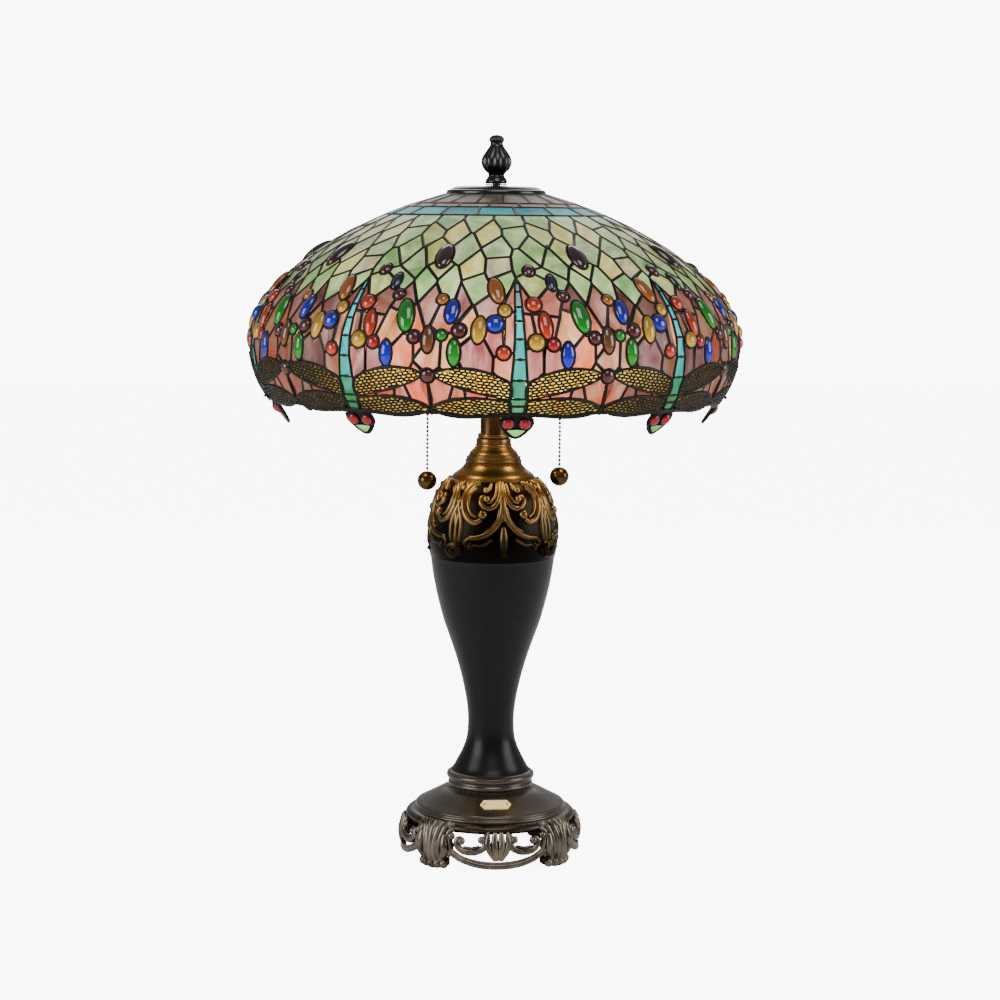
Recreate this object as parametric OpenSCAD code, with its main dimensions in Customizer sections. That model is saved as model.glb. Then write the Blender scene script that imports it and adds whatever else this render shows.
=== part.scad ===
// Table lamp with a leaded glass dragonfly shade, an urn shaped cast base and two pull chain sockets.
// Origin: centre of the feet on the table. +Z is up, -Y is the front.

/* [Base] */
// Width across the feet
base_d = 196; // [180:1:240]
// Height of the foot casting
foot_h = 47; // [40:1:58]
// Height of the sloping plinth above the feet
plinth_h = 25; // [20:1:32]
// Radius of the plinth's outer edge
plinth_r = 80; // [74:1:84]
// Radius of the plinth's top face
plinth_top_r = 44; // [40:1:50]
// Width of the blank name plate
plate_w = 32; // [24:1:38]
// Height of the blank name plate
plate_h = 13; // [10:1:15]
// Radius of the cord inlet bore
inlet_r = 4; // [3:0.5:5]

/* [Urn] */
// Height of the ring moulding under the urn
moulding_h = 16; // [12:1:20]
// Largest radius of the ring moulding
moulding_r = 46; // [42:1:52]
// Height of the urn
urn_h = 228; // [180:1:280]
// Radius of the urn's shoulder
urn_shoulder_r = 65; // [54:1:70]
// Radius of the urn's waist
urn_waist_r = 24; // [18:1:30]
// Height of the waist above the urn's foot
waist_h = 52; // [44:1:64]
// Wall of the spun and cast shells
metal_wall = 2.5; // [1.6:0.1:3.5]

/* [Collar and neck] */
// Height of the scroll collar
collar_h = 77; // [64:1:92]
// Radius of the collar's core at the top
collar_top_r = 46; // [40:1:50]
// Radius that the corner scrolls reach
scroll_r = 73; // [68:1:78]
// Height of the neck
neck_h = 50; // [42:1:62]
// Radius of the lip at the neck's foot
neck_r = 45.8; // [40:0.1:50]
// Radius of the band round the neck
neck_band_r = 28; // [24:1:33]

/* [Stem] */
// Radius of the stem tube
stem_r = 14; // [11:0.5:16]
// Height of the stem tube above the neck
stem_h = 85; // [70:1:105]
// Radius of the threaded lamp pipe
pipe_r = 4.8; // [4:0.1:5.8]
// Radius of the hole through the lamp pipe
pipe_bore_r = 3.2; // [2.4:0.1:3.6]
// Radius of the riser rod that holds the shade
riser_r = 4; // [3.2:0.1:4.8]
// Height from the socket cluster to the shade's crown
riser_h = 126; // [105:1:152]

/* [Sockets] */
// Height of the cluster body
cluster_h = 34; // [30:1:40]
// Radius of the cluster body
cluster_r = 26; // [22:1:30]
// Tilt of the sockets above horizontal
socket_tilt = 12; // [8:1:16]
// Radius of the socket shell
socket_r = 18.5; // [17:0.5:22]
// Length of the socket shell
socket_l = 44; // [38:1:52]
// Radius of the lamp bulb
bulb_r = 30; // [25:1:36]
// Distance of the pull chains from the centre
chain_x = 69; // [64:1:74]
// Radius of a bead on the pull chain
bead_r = 1.6; // [1.2:0.1:1.9]
// Distance from bead to bead
bead_pitch = 4.3; // [3.8:0.1:5]
// Beads on the left chain
left_beads = 27; // [20:1:30]
// Beads on the right chain
right_beads = 26; // [20:1:30]
// Radius of the ball on each chain
ball_r = 10; // [8:0.5:12]

/* [Shade] */
// Diameter of the shade at its widest
shade_d = 505; // [420:1:610]
// Height of the shade from rim to crown
shade_h = 209; // [180:1:240]
// Height of the widest ring above the rim
belly_h = 58; // [48:1:68]
// Radius of the crown opening
crown_r = 51; // [45:1:56]
// Thickness of the glass
glass_t = 3; // [2:0.1:4]
// Width of the lead lines
came_w = 2.4; // [1.8:0.1:3.2]
// How far the lead stands proud of the glass
came_proud = 0.8; // [0.4:0.1:1.2]
// Number of dragonflies
dragonflies = 9; // [7:1:10]
// Length of the hanging head panels
head_l = 26; // [25:1:34]
// Slope of the hanging head panels below horizontal
head_slope = 55; // [50:1:62]

/* [Finial] */
// Height of the finial
finial_h = 50; // [42:1:60]
// Largest radius of the finial
finial_r = 16; // [13:0.5:19]

/* [Fits] */
// Gap between stacked pieces of one body
seat_gap = 0.1; // [0.05:0.05:0.2]
// Radial gap of a turning fit
run_gap = 0.08; // [0.05:0.01:0.1]
// Gap between pieces that move past each other
move_gap = 0.4; // [0.3:0.1:0.6]

/* [Hidden] */

// Facets of a full circle on large and on small round shapes
$fn = 64;
small_fn = 32;
// Overshoot that makes a cut pass clean through a face
cut = 1;

// Heights of the stacked pieces
plinth_z = foot_h;
moulding_z = plinth_z + plinth_h;
urn_z = moulding_z + moulding_h;
collar_z = urn_z + urn_h;
neck_z = collar_z + collar_h;
stem_z = neck_z + neck_h;
cluster_z = stem_z + stem_h;
cap_z = cluster_z + cluster_h;
crown_z = cap_z + riser_h + 1;
rim_z = crown_z - shade_h;
belly_z = rim_z + belly_h;

// Base
foot_count = 4;
foot_turn = 45;
foot_r = base_d / 2;
pad_t = 1.6;
pad_r = 9;
paw_r = 12.5;
scroll_t = 5;
paw_at = foot_r - paw_r;
ledge_t = 3;
band_in = plinth_r - 3;
band_out = foot_r - 7;
band_h = 14;
band_z = foot_h - ledge_t - band_h;
plate_t = 1.2;
pin_r = 1;
ballast_t = 10;
ballast_r = band_in - 8;
ballast_z = foot_h - ledge_t - seat_gap - ballast_t;
washer_t = 1.5;
nut_t = 7;
washer_z = ballast_z - seat_gap - washer_t;
nut_z = washer_z - seat_gap - nut_t;
pipe_z = nut_z - 2;
pipe_hole_r = pipe_r + seat_gap;
inlet_z = band_z + band_h / 2;
bushing_r = inlet_r + 1.8;
bushing_flange_r = bushing_r + 1.4;
bushing_flange_t = 1.6;

// Collar and neck
collar_foot_r = urn_shoulder_r - 3;
collar_turn = 4;
neck_lower_h = neck_h * 0.52;
neck_upper_z = neck_z + neck_lower_h;
neck_top_r = stem_r + 4;
tube_wall = 2;

// Cluster and sockets, measured along the socket's own axis from the centre of the cluster
hub_z = cluster_z + cluster_h / 2;
cluster_cap_z = cap_z - 6;
riser_z = hub_z + 6;
nipple_r = 4.6;
nipple_gap = 1.5;
socket_s = cluster_r + nipple_gap + 17;
cap_s = cluster_r + nipple_gap;
cap_l = socket_s - cap_s - seat_gap;
shell_wall = 1;
liner_t = 1;
liner_r = socket_r - shell_wall - seat_gap;
screw_r = liner_r - liner_t - seat_gap;
screw_t = 0.9;
screw_s = socket_s + 8;
screw_l = socket_l - 10;
bulb_base_r = screw_r - screw_t - move_gap;
bulb_base_s = screw_s + 4;
bulb_base_l = screw_l - 4;
bulb_s = bulb_base_s + bulb_base_l + seat_gap;
bulb_neck_l = 8;
bulb_mid_s = bulb_s + bulb_neck_l + bulb_r * 0.9;
chain_s = chain_x / cos(socket_tilt);
chain_hub_z = hub_z + chain_x * tan(socket_tilt);
switch_top_z = chain_hub_z - socket_r / cos(socket_tilt);
switch_r = 8.5;
switch_h = 11;
switch_z = switch_top_z - switch_h;
rotor_r = 3.4;
rotor_w = 5;
rotor_z = switch_z + switch_h / 2;
bell_h = 10;
bell_z = switch_z - bell_h;
bell_mouth_r = 6;
slider_r = 1.2;
slider_l = bell_h - 1;
slider_hole_r = slider_r + move_gap;

// Seat, cap and finial
seat_r = 20;
seat_t = 3;
cap_t = 1.5;
cap_edge_z = crown_z - 1;
cap_edge_h = 5;
cap_rise = 4.5;
cap_top_z = cap_edge_z + cap_edge_h + cap_rise;
seat_top_z = cap_top_z - cap_t - move_gap;
crown_ring_h = 4;
crown_ring_w = 5;
finial_washer_t = 1.4;
finial_washer_r = 11;
finial_washer_z = cap_top_z + move_gap;
finial_z = finial_washer_z + finial_washer_t + move_gap;
rod_reach = 15;

// Shade. Height along the curve is given by v: 1 at the crown, 0 at the belly, -1 at the rim.
shade_r = shade_d / 2;
belly_r = 96;
belly_turn = asin(belly_h / belly_r);
sector = 360 / dragonflies;
v_green = 0.9;
v_pink = 0.872;
v_teal = 0.806;
v_leaf = 0.58;
v_blush = 0.36;
v_blush_mid = 0.17;
v_wing = -0.19;
v_wing_mid = -0.69;
crown_tiles = 2 * dragonflies;
tail_w = 9;
thorax_w = 16;
wing_reach = 0.45;
jewel_r = 6.5;
jewel_t = 5;
rim_r = shade_at(-1)[0];
rim_low_z = shade_at(-1)[1];
eye_r = 6.4;
eye_gap = 0.2;
head_t = 3;
head_w = 31;
head_drop = came_w / 2 + 0.6;

// Point on a cubic curve
function bez(p, t) = pow(1 - t, 3) * p[0] + 3 * pow(1 - t, 2) * t * p[1]
    + 3 * (1 - t) * t * t * p[2] + pow(t, 3) * p[3];
// Points along a cubic curve
function curve(p, n) = [for (i = [0:n]) bez(p, i / n)];
// Closed outline of a turned shell from its outer line, from the bottom to the top
function skin(line, wall) = concat(line, [for (i = [len(line) - 1:-1:0]) line[i] - [wall, 0]]);
// List in the other order
function reversed(list) = [for (i = [len(list) - 1:-1:0]) list[i]];

// Outer line of the shade as [radius, height]
function shade_at(v) = v >= 0
    ? bez([[shade_r, belly_z], [shade_r, belly_z + 0.377 * (crown_z - belly_z)],
        [crown_r + 0.54 * (shade_r - crown_r), crown_z - 0.19 * (crown_z - belly_z)],
        [crown_r, crown_z]], v)
    : [shade_r - belly_r * (1 - cos(-v * belly_turn)), belly_z - belly_r * sin(-v * belly_turn)];
// Direction along the line, its length being the speed per unit of v
function shade_run(v) = (shade_at(v + 0.004) - shade_at(v - 0.004)) / 0.008;
// Outward direction
function shade_out(v) = let (d = shade_run(v)) [d[1], -d[0]] / norm(d);
// Value of v a distance d further up the line
function further(v, d) = v + d / norm(shade_run(v + (d > 0 ? 0.006 : -0.006)));
// Angle that a width takes up at a height
function width_angle(w, v) = w / shade_at(v)[0] * 180 / PI;

// Wall section of the shade between two heights, grown by a margin outwards and inwards
module shade_section(v_low, v_high, proud = 0) {
    steps = max(2, ceil(norm(shade_at(v_high) - shade_at(v_low)) / 14));
    vs = [for (i = [0:steps]) v_low + (v_high - v_low) * i / steps];
    outer = [for (v = vs) shade_at(v) + shade_out(v) * proud];
    inner = [for (v = vs) shade_at(v) - shade_out(v) * (glass_t + proud)];
    polygon(concat(outer, reversed(inner)));
}

// One glass tile between two lead lines above and below and two angles
module tile(v_low, v_high, a_low, a_high) {
    edge = width_angle(came_w / 2, (v_low + v_high) / 2);
    rotate([0, 0, a_low + edge])
        rotate_extrude(angle = a_high - a_low - 2 * edge)
            shade_section(further(v_low, came_w / 2), further(v_high, -came_w / 2));
}

// Lead line round the shade at one height, between two angles
module lead_arc(v, a_low, a_high) {
    half = came_w / 2 - seat_gap;
    rotate([0, 0, a_low])
        rotate_extrude(angle = a_high - a_low)
            shade_section(further(v, -half), further(v, half), came_proud);
}

// Lead line up the shade at one angle
module lead_rib(v_low, v_high, a) {
    mid = (v_low + v_high) / 2;
    wide = width_angle(came_w - 2 * seat_gap, mid);
    rotate([0, 0, a - wide / 2])
        rotate_extrude(angle = wide)
            shade_section(further(v_low, came_w / 2), further(v_high, -came_w / 2), came_proud);
}

// Places children on the glass with +Z outwards
module on_shade(v, a) {
    p = shade_at(v);
    n = shade_out(v);
    rotate([0, 0, a])
        translate([p[0], 0, p[1]])
            rotate([0, atan2(n[0], n[1]), 0])
                children();
}

// Angle of the front dragonfly and of the others
function fly_angle(i) = -90 + i * sector;

// Half angle taken by a dragonfly's tail and by its thorax
function tail_half() = width_angle(tail_w / 2, 0.2);
function thorax_half() = width_angle(thorax_w / 2, -0.4);

// Jewels of one sector, as [v, share of the sector from the dragonfly]
jewel_spots = [[0.47, 0.5], [0.265, 0.16], [0.265, 0.34], [0.265, 0.66], [0.265, 0.84],
    [0.02, 0.25], [0.02, 0.75]];

// Places children at every jewel
module at_jewels() {
    for (i = [0:dragonflies - 1])
        for (spot = jewel_spots)
            on_shade(spot[0], fly_angle(i) + spot[1] * sector)
                children();
}

// Turned solid about the lamp's axis
module turned(outline) {
    rotate_extrude()
        polygon(outline);
}

// Round bar along Z between two heights
module bar(r, z1, z2) {
    translate([0, 0, z1])
        cylinder(r = r, h = z2 - z1);
}

// Tube along Z between two heights
module tube(r_out, r_in, z1, z2) {
    difference() {
        bar(r_out, z1, z2);
        bar(r_in, z1 - cut, z2 + cut);
    }
}

// Part of a ring in the XZ plane, its wire of radius w
module ring_part(r, w, from, to) {
    rotate([90, 0, 0])
        rotate([0, 0, from])
            rotate_extrude(angle = to - from, $fn = small_fn)
                translate([r, 0])
                    circle(r = w, $fn = 16);
}

// Places children round the base at each foot
module at_feet() {
    for (i = [0:foot_count - 1])
        rotate([0, 0, foot_turn + i * 360 / foot_count])
            children();
}

// Flat C scroll with a ball at its tip, cut from plate and standing across the +X direction
module plate_scroll(r, side) {
    rotate([90, 0, 90])
        linear_extrude(scroll_t, center = true)
            mirror([side < 0 ? 1 : 0, 0])
                union() {
                    difference() {
                        circle(r = r, $fn = small_fn);
                        circle(r = r - 3.6, $fn = small_fn);
                        translate([-r * 0.45, -r * 0.2])
                            square([r * 0.9, r * 0.8 + cut]);
                    }
                    translate([0, -r * 0.1])
                        circle(r = r * 0.34, $fn = small_fn);
                    translate([-r * 0.2, -r])
                        square([r * 0.4, r * 0.7]);
                }
}

// Cast ring with four paw feet, scroll work between them and an inner ledge
module foot_casting() {
    scroll_at = band_out - 4;
    scroll_rad = (band_z - 4) / 2 + 0.6;
    color("#6d6455")
    difference() {
        union() {
            turned([[band_in, band_z], [band_out, band_z], [band_out + 2, band_z + 3],
                [band_out, foot_h - 8], [plinth_r + 5, foot_h - 3], [plinth_r + 3, foot_h],
                [band_in - 12, foot_h], [band_in - 12, foot_h - ledge_t],
                [band_in, foot_h - ledge_t]]);
            turned([[scroll_at - 3, 4], [scroll_at + 2, 4], [scroll_at + 2, 8], [scroll_at - 3, 8]]);
            at_feet() {
                translate([paw_at, 0, 0])
                    cylinder(r = paw_r, h = paw_r * 0.8);
                translate([paw_at, 0, paw_r * 0.8])
                    cylinder(r1 = paw_r, r2 = paw_r - 4, h = paw_r * 0.5);
                translate([paw_at - 4, 0, paw_r * 0.8])
                    cylinder(r = 8, h = band_z + 5 - paw_r * 0.8);
            }
            for (i = [0:foot_count - 1], side = [-1, 1])
                rotate([0, 0, i * 360 / foot_count + side * 15])
                    translate([scroll_at, 0, band_z / 2 + 4])
                        plate_scroll(scroll_rad, side);
            for (i = [0:foot_count - 1])
                rotate([0, 0, i * 360 / foot_count])
                    translate([scroll_at, 0, 6])
                        cylinder(r1 = 3, r2 = 6, h = band_z - 4);
        }
        translate([0, 0, -cut])
            cylinder(r = foot_r + paw_r, h = pad_t + seat_gap + cut);
        translate([0, band_in - 2 * cut, inlet_z])
            rotate([-90, 0, 0])
                cylinder(r = bushing_r + 0.3, h = foot_r);
    }
}

// Felt pads under the paws
module foot_pads() {
    color("#2d4033")
    at_feet()
        translate([paw_at, 0, 0])
            cylinder(r = pad_r, h = pad_t);
}

// Height of the plinth's sloping face at a radius
plinth_slope = (plinth_h * 0.72) / (plinth_r - 2 - plinth_top_r);
plinth_edge_z = moulding_z - plinth_h * 0.72;

// Spun plinth with a sloping top
module base_plinth() {
    low = plinth_z + seat_gap;
    top = moulding_z - seat_gap;
    outer = [[plinth_r, low], [plinth_r, low + 2.5], [plinth_r - 2, low + 3.5],
        [plinth_r - 2, plinth_edge_z], [plinth_top_r, top]];
    color("#5a5145")
    turned(concat(outer, [[pipe_hole_r, top], [pipe_hole_r, top - metal_wall],
        [plinth_top_r - 1, top - metal_wall], [plinth_r - 2 - metal_wall, plinth_edge_z - metal_wall],
        [plinth_r - 2 - metal_wall, low]]));
}

// Iron plate that keeps the lamp from tipping
module ballast_plate() {
    color("#3a3a3a")
    tube(ballast_r, pipe_hole_r, ballast_z, ballast_z + ballast_t);
}

// Washer under the ballast plate
module base_washer() {
    color("#8d8d88")
    tube(pipe_r * 3, pipe_hole_r, washer_z, washer_z + washer_t);
}

// Hexagon nut that draws the stack together
module base_nut() {
    color("#9a8b5a")
    difference() {
        translate([0, 0, nut_z])
            cylinder(r = pipe_r * 2, h = nut_t, $fn = 6);
        bar(pipe_hole_r, nut_z - cut, nut_z + nut_t + cut);
    }
}

// Blank plate on the front of the plinth
module name_plate() {
    at_plate()
        color("#b08d4a")
        linear_extrude(plate_t)
            difference() {
                polygon([[-plate_w / 2, 0], [-plate_w / 2 + 4, -plate_h / 2],
                    [plate_w / 2 - 4, -plate_h / 2], [plate_w / 2, 0],
                    [plate_w / 2 - 4, plate_h / 2], [-plate_w / 2 + 4, plate_h / 2]]);
                for (side = [-1, 1])
                    translate([side * (plate_w / 2 - 4), 0])
                        circle(r = pin_r + seat_gap, $fn = small_fn);
            }
}

// Two pins through the plate
module name_plate_pins() {
    at_plate()
        color("#8a6c34")
        for (side = [-1, 1])
            translate([side * (plate_w / 2 - 4), 0, 0.6])
                cylinder(r = pin_r, h = plate_t, $fn = small_fn);
}

// Places children on the front of the plinth's slope with +Z outwards
module at_plate() {
    mid_r = (plinth_top_r + plinth_r - 2) / 2;
    slope = atan(plinth_slope);
    translate([0, -mid_r, (plinth_edge_z + moulding_z) / 2])
        rotate([slope, 0, 0])
            translate([0, 0, seat_gap])
                children();
}

// Bushing that guides the cord into the back of the base
module cord_bushing() {
    color("#1d1b19")
    translate([0, 0, inlet_z])
        rotate([-90, 0, 0])
            difference() {
                union() {
                    bar(bushing_r, band_in - 3, band_out + 2 + seat_gap);
                    bar(bushing_flange_r, band_out + 2 + seat_gap, band_out + 2 + bushing_flange_t);
                }
                bar(inlet_r, band_in - 3 - cut, foot_r + cut);
            }
}

// Two rings under the urn
module base_moulding() {
    low = moulding_z + seat_gap;
    top = urn_z - seat_gap;
    mid = (low + top) / 2;
    color("#4d4439")
    turned([[pipe_hole_r, low], [moulding_r - 3, low], [moulding_r - 1.4, low + 2],
        [moulding_r - 1.4, mid - 2], [moulding_r - 2.6, mid], [moulding_r, mid + 2],
        [moulding_r, top - 3], [moulding_r - 4, top], [pipe_hole_r, top]]);
}

// Outer line of the urn from its foot to its shoulder
function urn_line(z1, z2) = let (waist_z = z1 + waist_h) concat(
    curve([[moulding_r - 4, z1], [urn_waist_r + 5, z1 + 0.27 * waist_h],
        [urn_waist_r, z1 + 0.6 * waist_h], [urn_waist_r, waist_z]], 8),
    [for (i = [1:10]) bez([[urn_waist_r, waist_z], [urn_waist_r + 1, waist_z + 0.375 * (z2 - waist_z)],
        [urn_shoulder_r - 2, waist_z + 0.66 * (z2 - waist_z)], [urn_shoulder_r, z2]], i / 10)]);

// Tall hollow urn
module urn_body() {
    low = urn_z + seat_gap;
    top = collar_z - seat_gap;
    line = urn_line(low, top);
    color("#1c1a18")
    difference() {
        turned(skin(line, metal_wall));
        bar(pipe_hole_r, low - cut, low + cut);
    }
}

// One wound corner scroll of the collar, standing in the XZ plane
module corner_scroll() {
    drop = collar_h * 0.62;
    foot_z = collar_z + 8;
    translate([scroll_r - 9, 0, foot_z])
        sphere(r = 7, $fn = 24);
    translate([scroll_r - 13, 0, foot_z + 18])
        ring_part(11, 3.6, -70, 130);
    translate([collar_top_r + 6, 0, collar_z + drop])
        ring_part(9, 3.2, -120, 120);
    translate([collar_top_r + 4, 0, collar_z + drop])
        sphere(r = 5, $fn = 24);
}

// Cast collar of scrolls between the urn and the neck
module scroll_collar() {
    low = collar_z + seat_gap;
    top = neck_z - seat_gap;
    line = curve([[collar_foot_r, low], [collar_foot_r - 3, low + 0.45 * collar_h],
        [collar_top_r + 3, low + 0.6 * collar_h], [collar_top_r, top]], 8);
    color("#54442a")
    union() {
        turned(skin(line, metal_wall + 1));
        turned([[collar_foot_r - 2, low], [scroll_r - 6, low], [scroll_r - 5, low + 3],
            [scroll_r - 7, low + 6], [collar_foot_r - 2, low + 6]]);
        for (i = [0:3])
            rotate([0, 0, foot_turn + collar_turn + i * 90])
                corner_scroll();
    }
}

// Lower cone of the neck with its band
module neck_cone_lower() {
    low = neck_z + seat_gap;
    top = neck_upper_z - seat_gap;
    h = top - low;
    outer = concat([[neck_r - 1, low], [neck_r, low + 1], [neck_r, low + 3]],
        curve([[neck_r - 2, low + 4], [neck_r - 5, low + 0.3 * h], [neck_band_r + 2, low + 0.55 * h],
            [neck_band_r, low + 0.8 * h]], 6), [[neck_band_r, top]]);
    color("#6f5530")
    turned(concat(outer, [[stem_r + seat_gap, top], [stem_r + seat_gap, top - 3],
        [neck_band_r - metal_wall - 1, top - 3], [neck_r - 12, low + 4], [pipe_hole_r, low + 4],
        [pipe_hole_r, low]]));
}

// Upper cone of the neck with its lip
module neck_cone_upper() {
    low = neck_upper_z + seat_gap;
    h = stem_z - low;
    outer = concat(curve([[neck_band_r - 2, low], [neck_top_r + 4, low + 0.18 * h],
        [neck_top_r, low + 0.3 * h], [neck_top_r, low + 0.5 * h]], 6),
        [[neck_top_r, low + 0.76 * h], [neck_top_r - 1.6, low + 0.78 * h],
        [neck_top_r - 1.4, low + 0.95 * h], [neck_top_r - 3, stem_z]]);
    color("#6f5530")
    turned(concat(outer, [[stem_r + seat_gap, stem_z], [stem_r + seat_gap, low]]));
}

// Stem tube from the neck up to the socket cluster
module stem_tube() {
    color("#5d4a2c")
    tube(stem_r, stem_r - tube_wall, neck_z + 4 + 2 * seat_gap, cluster_z - seat_gap);
}

// Threaded pipe that carries the wires and clamps the whole stack
module lamp_pipe() {
    color("#9c8450")
    tube(pipe_r, pipe_bore_r, pipe_z, cluster_z + 12);
}

// Places children along the right socket's axis, whose centre is the hub
module along_socket() {
    translate([0, 0, hub_z])
        rotate([0, 90 - socket_tilt, 0])
            children();
}

// Hollow hub that joins both sockets to the stem
module cluster_body() {
    wall = 2.4;
    floor_z = cluster_z + 7;
    color("#6f5530")
    difference() {
        turned([[0, cluster_z], [stem_r + 1, cluster_z], [cluster_r, floor_z],
            [cluster_r, cluster_cap_z], [0, cluster_cap_z]]);
        bar(cluster_r - wall, floor_z, cluster_cap_z + cut);
        bar(pipe_hole_r, cluster_z - cut, floor_z + cut);
        for (side = [0, 1])
            mirror([side, 0, 0])
                along_socket()
                    bar(nipple_r + seat_gap, cluster_r / 2, cluster_r * 2);
    }
}

// Domed cap of the cluster with the boss that holds the riser
module cluster_cap() {
    low = cluster_cap_z + seat_gap;
    color("#6f5530")
    turned([[riser_r + seat_gap, riser_z], [riser_r + 3, riser_z], [riser_r + 3, low],
        [cluster_r, low], [cluster_r, low + 1.5], [cluster_r - 8, low + 4.5], [riser_r + 4, cap_z],
        [riser_r + seat_gap, cap_z]]);
}

// Rod that rises from the cluster and takes the seat, the shade and the finial
module riser_rod() {
    color("#9c8450")
    bar(riser_r, riser_z, finial_z + rod_reach);
}

// Disc on the riser that the shade's cap turns on
module shade_seat() {
    color("#9c8450")
    difference() {
        union() {
            bar(seat_r, seat_top_z - seat_t, seat_top_z);
            bar(riser_r + 4, seat_top_z - seat_t - 8, seat_top_z);
        }
        bar(riser_r + seat_gap, seat_top_z - seat_t - 8 - cut, seat_top_z + cut);
    }
}

// Domed cap of a socket with the nipple that screws into the cluster
module socket_cap() {
    nipple_s = cluster_r - 3;
    color("#8a6c34")
    along_socket()
        rotate_extrude()
            polygon([[nipple_r - 1.4, nipple_s], [nipple_r, nipple_s], [nipple_r, cap_s],
                [nipple_r + 3, cap_s], [socket_r - 5, cap_s + 3], [socket_r - 1, cap_s + cap_l * 0.5],
                [socket_r, cap_s + cap_l * 0.8], [socket_r, cap_s + cap_l],
                [socket_r - shell_wall, cap_s + cap_l], [socket_r - 3, cap_s + cap_l * 0.5],
                [socket_r - 7, cap_s + 5], [nipple_r - 1.4, cap_s + 5]]);
}

// Outer shell of a socket
module socket_shell() {
    color("#8a6c34")
    along_socket()
        difference() {
            bar(socket_r, socket_s, socket_s + socket_l);
            bar(socket_r - shell_wall, socket_s - cut, socket_s + socket_l + cut);
        }
}

// Fibre liner inside the shell
module socket_liner() {
    color("#b9a888")
    along_socket()
        tube(liner_r, liner_r - liner_t, socket_s + 2, socket_s + socket_l - 1);
}

// Threaded brass shell that takes the bulb, with its insulating floor
module screw_shell() {
    color("#b08d4a")
    along_socket()
        union() {
            tube(screw_r, screw_r - screw_t, screw_s, screw_s + screw_l);
            bar(screw_r, screw_s - 4, screw_s);
        }
}

// Housing of the pull switch under the shell
module switch_body() {
    color("#2a2622")
    difference() {
        translate([chain_x, 0, 0])
            bar(switch_r, switch_z, switch_top_z + 5);
        along_socket()
            bar(socket_r + seat_gap, socket_s - 20, socket_s + socket_l + 20);
        translate([chain_x, rotor_w / 2 + move_gap, rotor_z])
            rotate([90, 0, 0])
                cylinder(r = rotor_r + move_gap, h = rotor_w + 2 * move_gap, $fn = small_fn);
        translate([chain_x, 0, 0])
            bar(slider_hole_r, switch_z - cut, rotor_z);
    }
}

// Trumpet that the chain runs out of
module chain_bell() {
    top = switch_z - seat_gap;
    color("#8a6c34")
    translate([chain_x, 0, 0])
        turned([[slider_hole_r + 0.6, bell_z], [bell_mouth_r, bell_z], [bell_mouth_r - 0.6, bell_z + 1],
            [3.6, bell_z + 5], [3.4, top - 2], [5, top - 1], [5, top], [slider_hole_r + 0.6, top]]);
}

// Ratchet wheel of the pull switch
module switch_rotor() {
    color("#c9b36a")
    translate([chain_x, rotor_w / 2, rotor_z])
        rotate([90, 0, 0])
            cylinder(r = rotor_r, h = rotor_w, $fn = small_fn);
}

// Short link that slides in the bell
module chain_slider() {
    color("#8a6c34")
    translate([chain_x, 0, 0])
        bar(slider_r, bell_z + 0.3, bell_z + 0.3 + slider_l);
}

// Half outline of a run of beads on their wire, hanging down from zero
function bead_line(count) = concat([[0, 0]], [for (i = [0:count - 1], a = [20, 55, 90, 125, 160])
    [bead_r * sin(a), -i * bead_pitch - bead_r * (1 - cos(a)) - 0.2]],
    [[0.5, -count * bead_pitch], [0, -count * bead_pitch]]);

// Bead chain that hangs from the bell
module pull_chain(count) {
    color("#7d6230")
    translate([chain_x, 0, bell_z - 0.1])
        turned(bead_line(count));
}

// Ball at the end of the chain
module pull_ball(count) {
    color("#6a5026")
    translate([chain_x, 0, bell_z - 0.1 - seat_gap - count * bead_pitch - ball_r])
        difference() {
            sphere(r = ball_r, $fn = 48);
            translate([0, 0, ball_r - 0.4])
                cylinder(r = ball_r, h = ball_r);
        }
}

// Threaded metal foot of a bulb
module bulb_base() {
    color("#c7c2b4")
    along_socket()
        rotate_extrude()
            polygon([[0, bulb_base_s - 2], [4, bulb_base_s - 2], [bulb_base_r - 3, bulb_base_s + 3],
                [bulb_base_r, bulb_base_s + 5], [bulb_base_r, bulb_base_s + bulb_base_l],
                [0, bulb_base_s + bulb_base_l]]);
}

// Frosted glass globe of a bulb
module bulb_glass() {
    neck = bulb_base_r - 0.6;
    open = asin(neck / bulb_r);
    wall = 1;
    color("#fff3d6")
    along_socket()
        rotate_extrude()
            polygon(concat([[neck, bulb_s]],
                [for (i = [0:14]) let (a = open + (180 - open) * i / 14)
                    [bulb_r * sin(a), bulb_mid_s - bulb_r * cos(a)]],
                [for (i = [14:-1:0]) let (a = open + (180 - open) * i / 14)
                    [(bulb_r - wall) * sin(a), bulb_mid_s - (bulb_r - wall) * cos(a)]],
                [[neck - wall, bulb_s]]));
}

// Fluted finial that clamps the shade
module finial() {
    h = finial_h;
    stalk = [[riser_r + run_gap, 0], [10.4, 0], [11.3, 0.04 * h], [10.3, 0.11 * h], [8.2, 0.18 * h],
        [9.7, 0.23 * h]];
    bowl = curve([[12.8, 0.29 * h], [finial_r, 0.36 * h], [finial_r + 1.2, 0.5 * h],
        [finial_r * 0.72, 0.65 * h]], 6);
    tip = [[9.2, 0.7 * h], [7.2, 0.76 * h], [6.7, 0.82 * h], [8.2, 0.88 * h], [6.7, 0.94 * h],
        [3.5, 0.985 * h], [0, h]];
    color("#26241f")
    translate([0, 0, finial_z])
        turned(concat(stalk, bowl, tip, [[0, rod_reach + 6], [riser_r + run_gap, rod_reach + 6]]));
}

// Washer under the finial
module finial_washer() {
    color("#8a6c34")
    tube(finial_washer_r, riser_r + run_gap, finial_washer_z, finial_washer_z + finial_washer_t);
}

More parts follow.
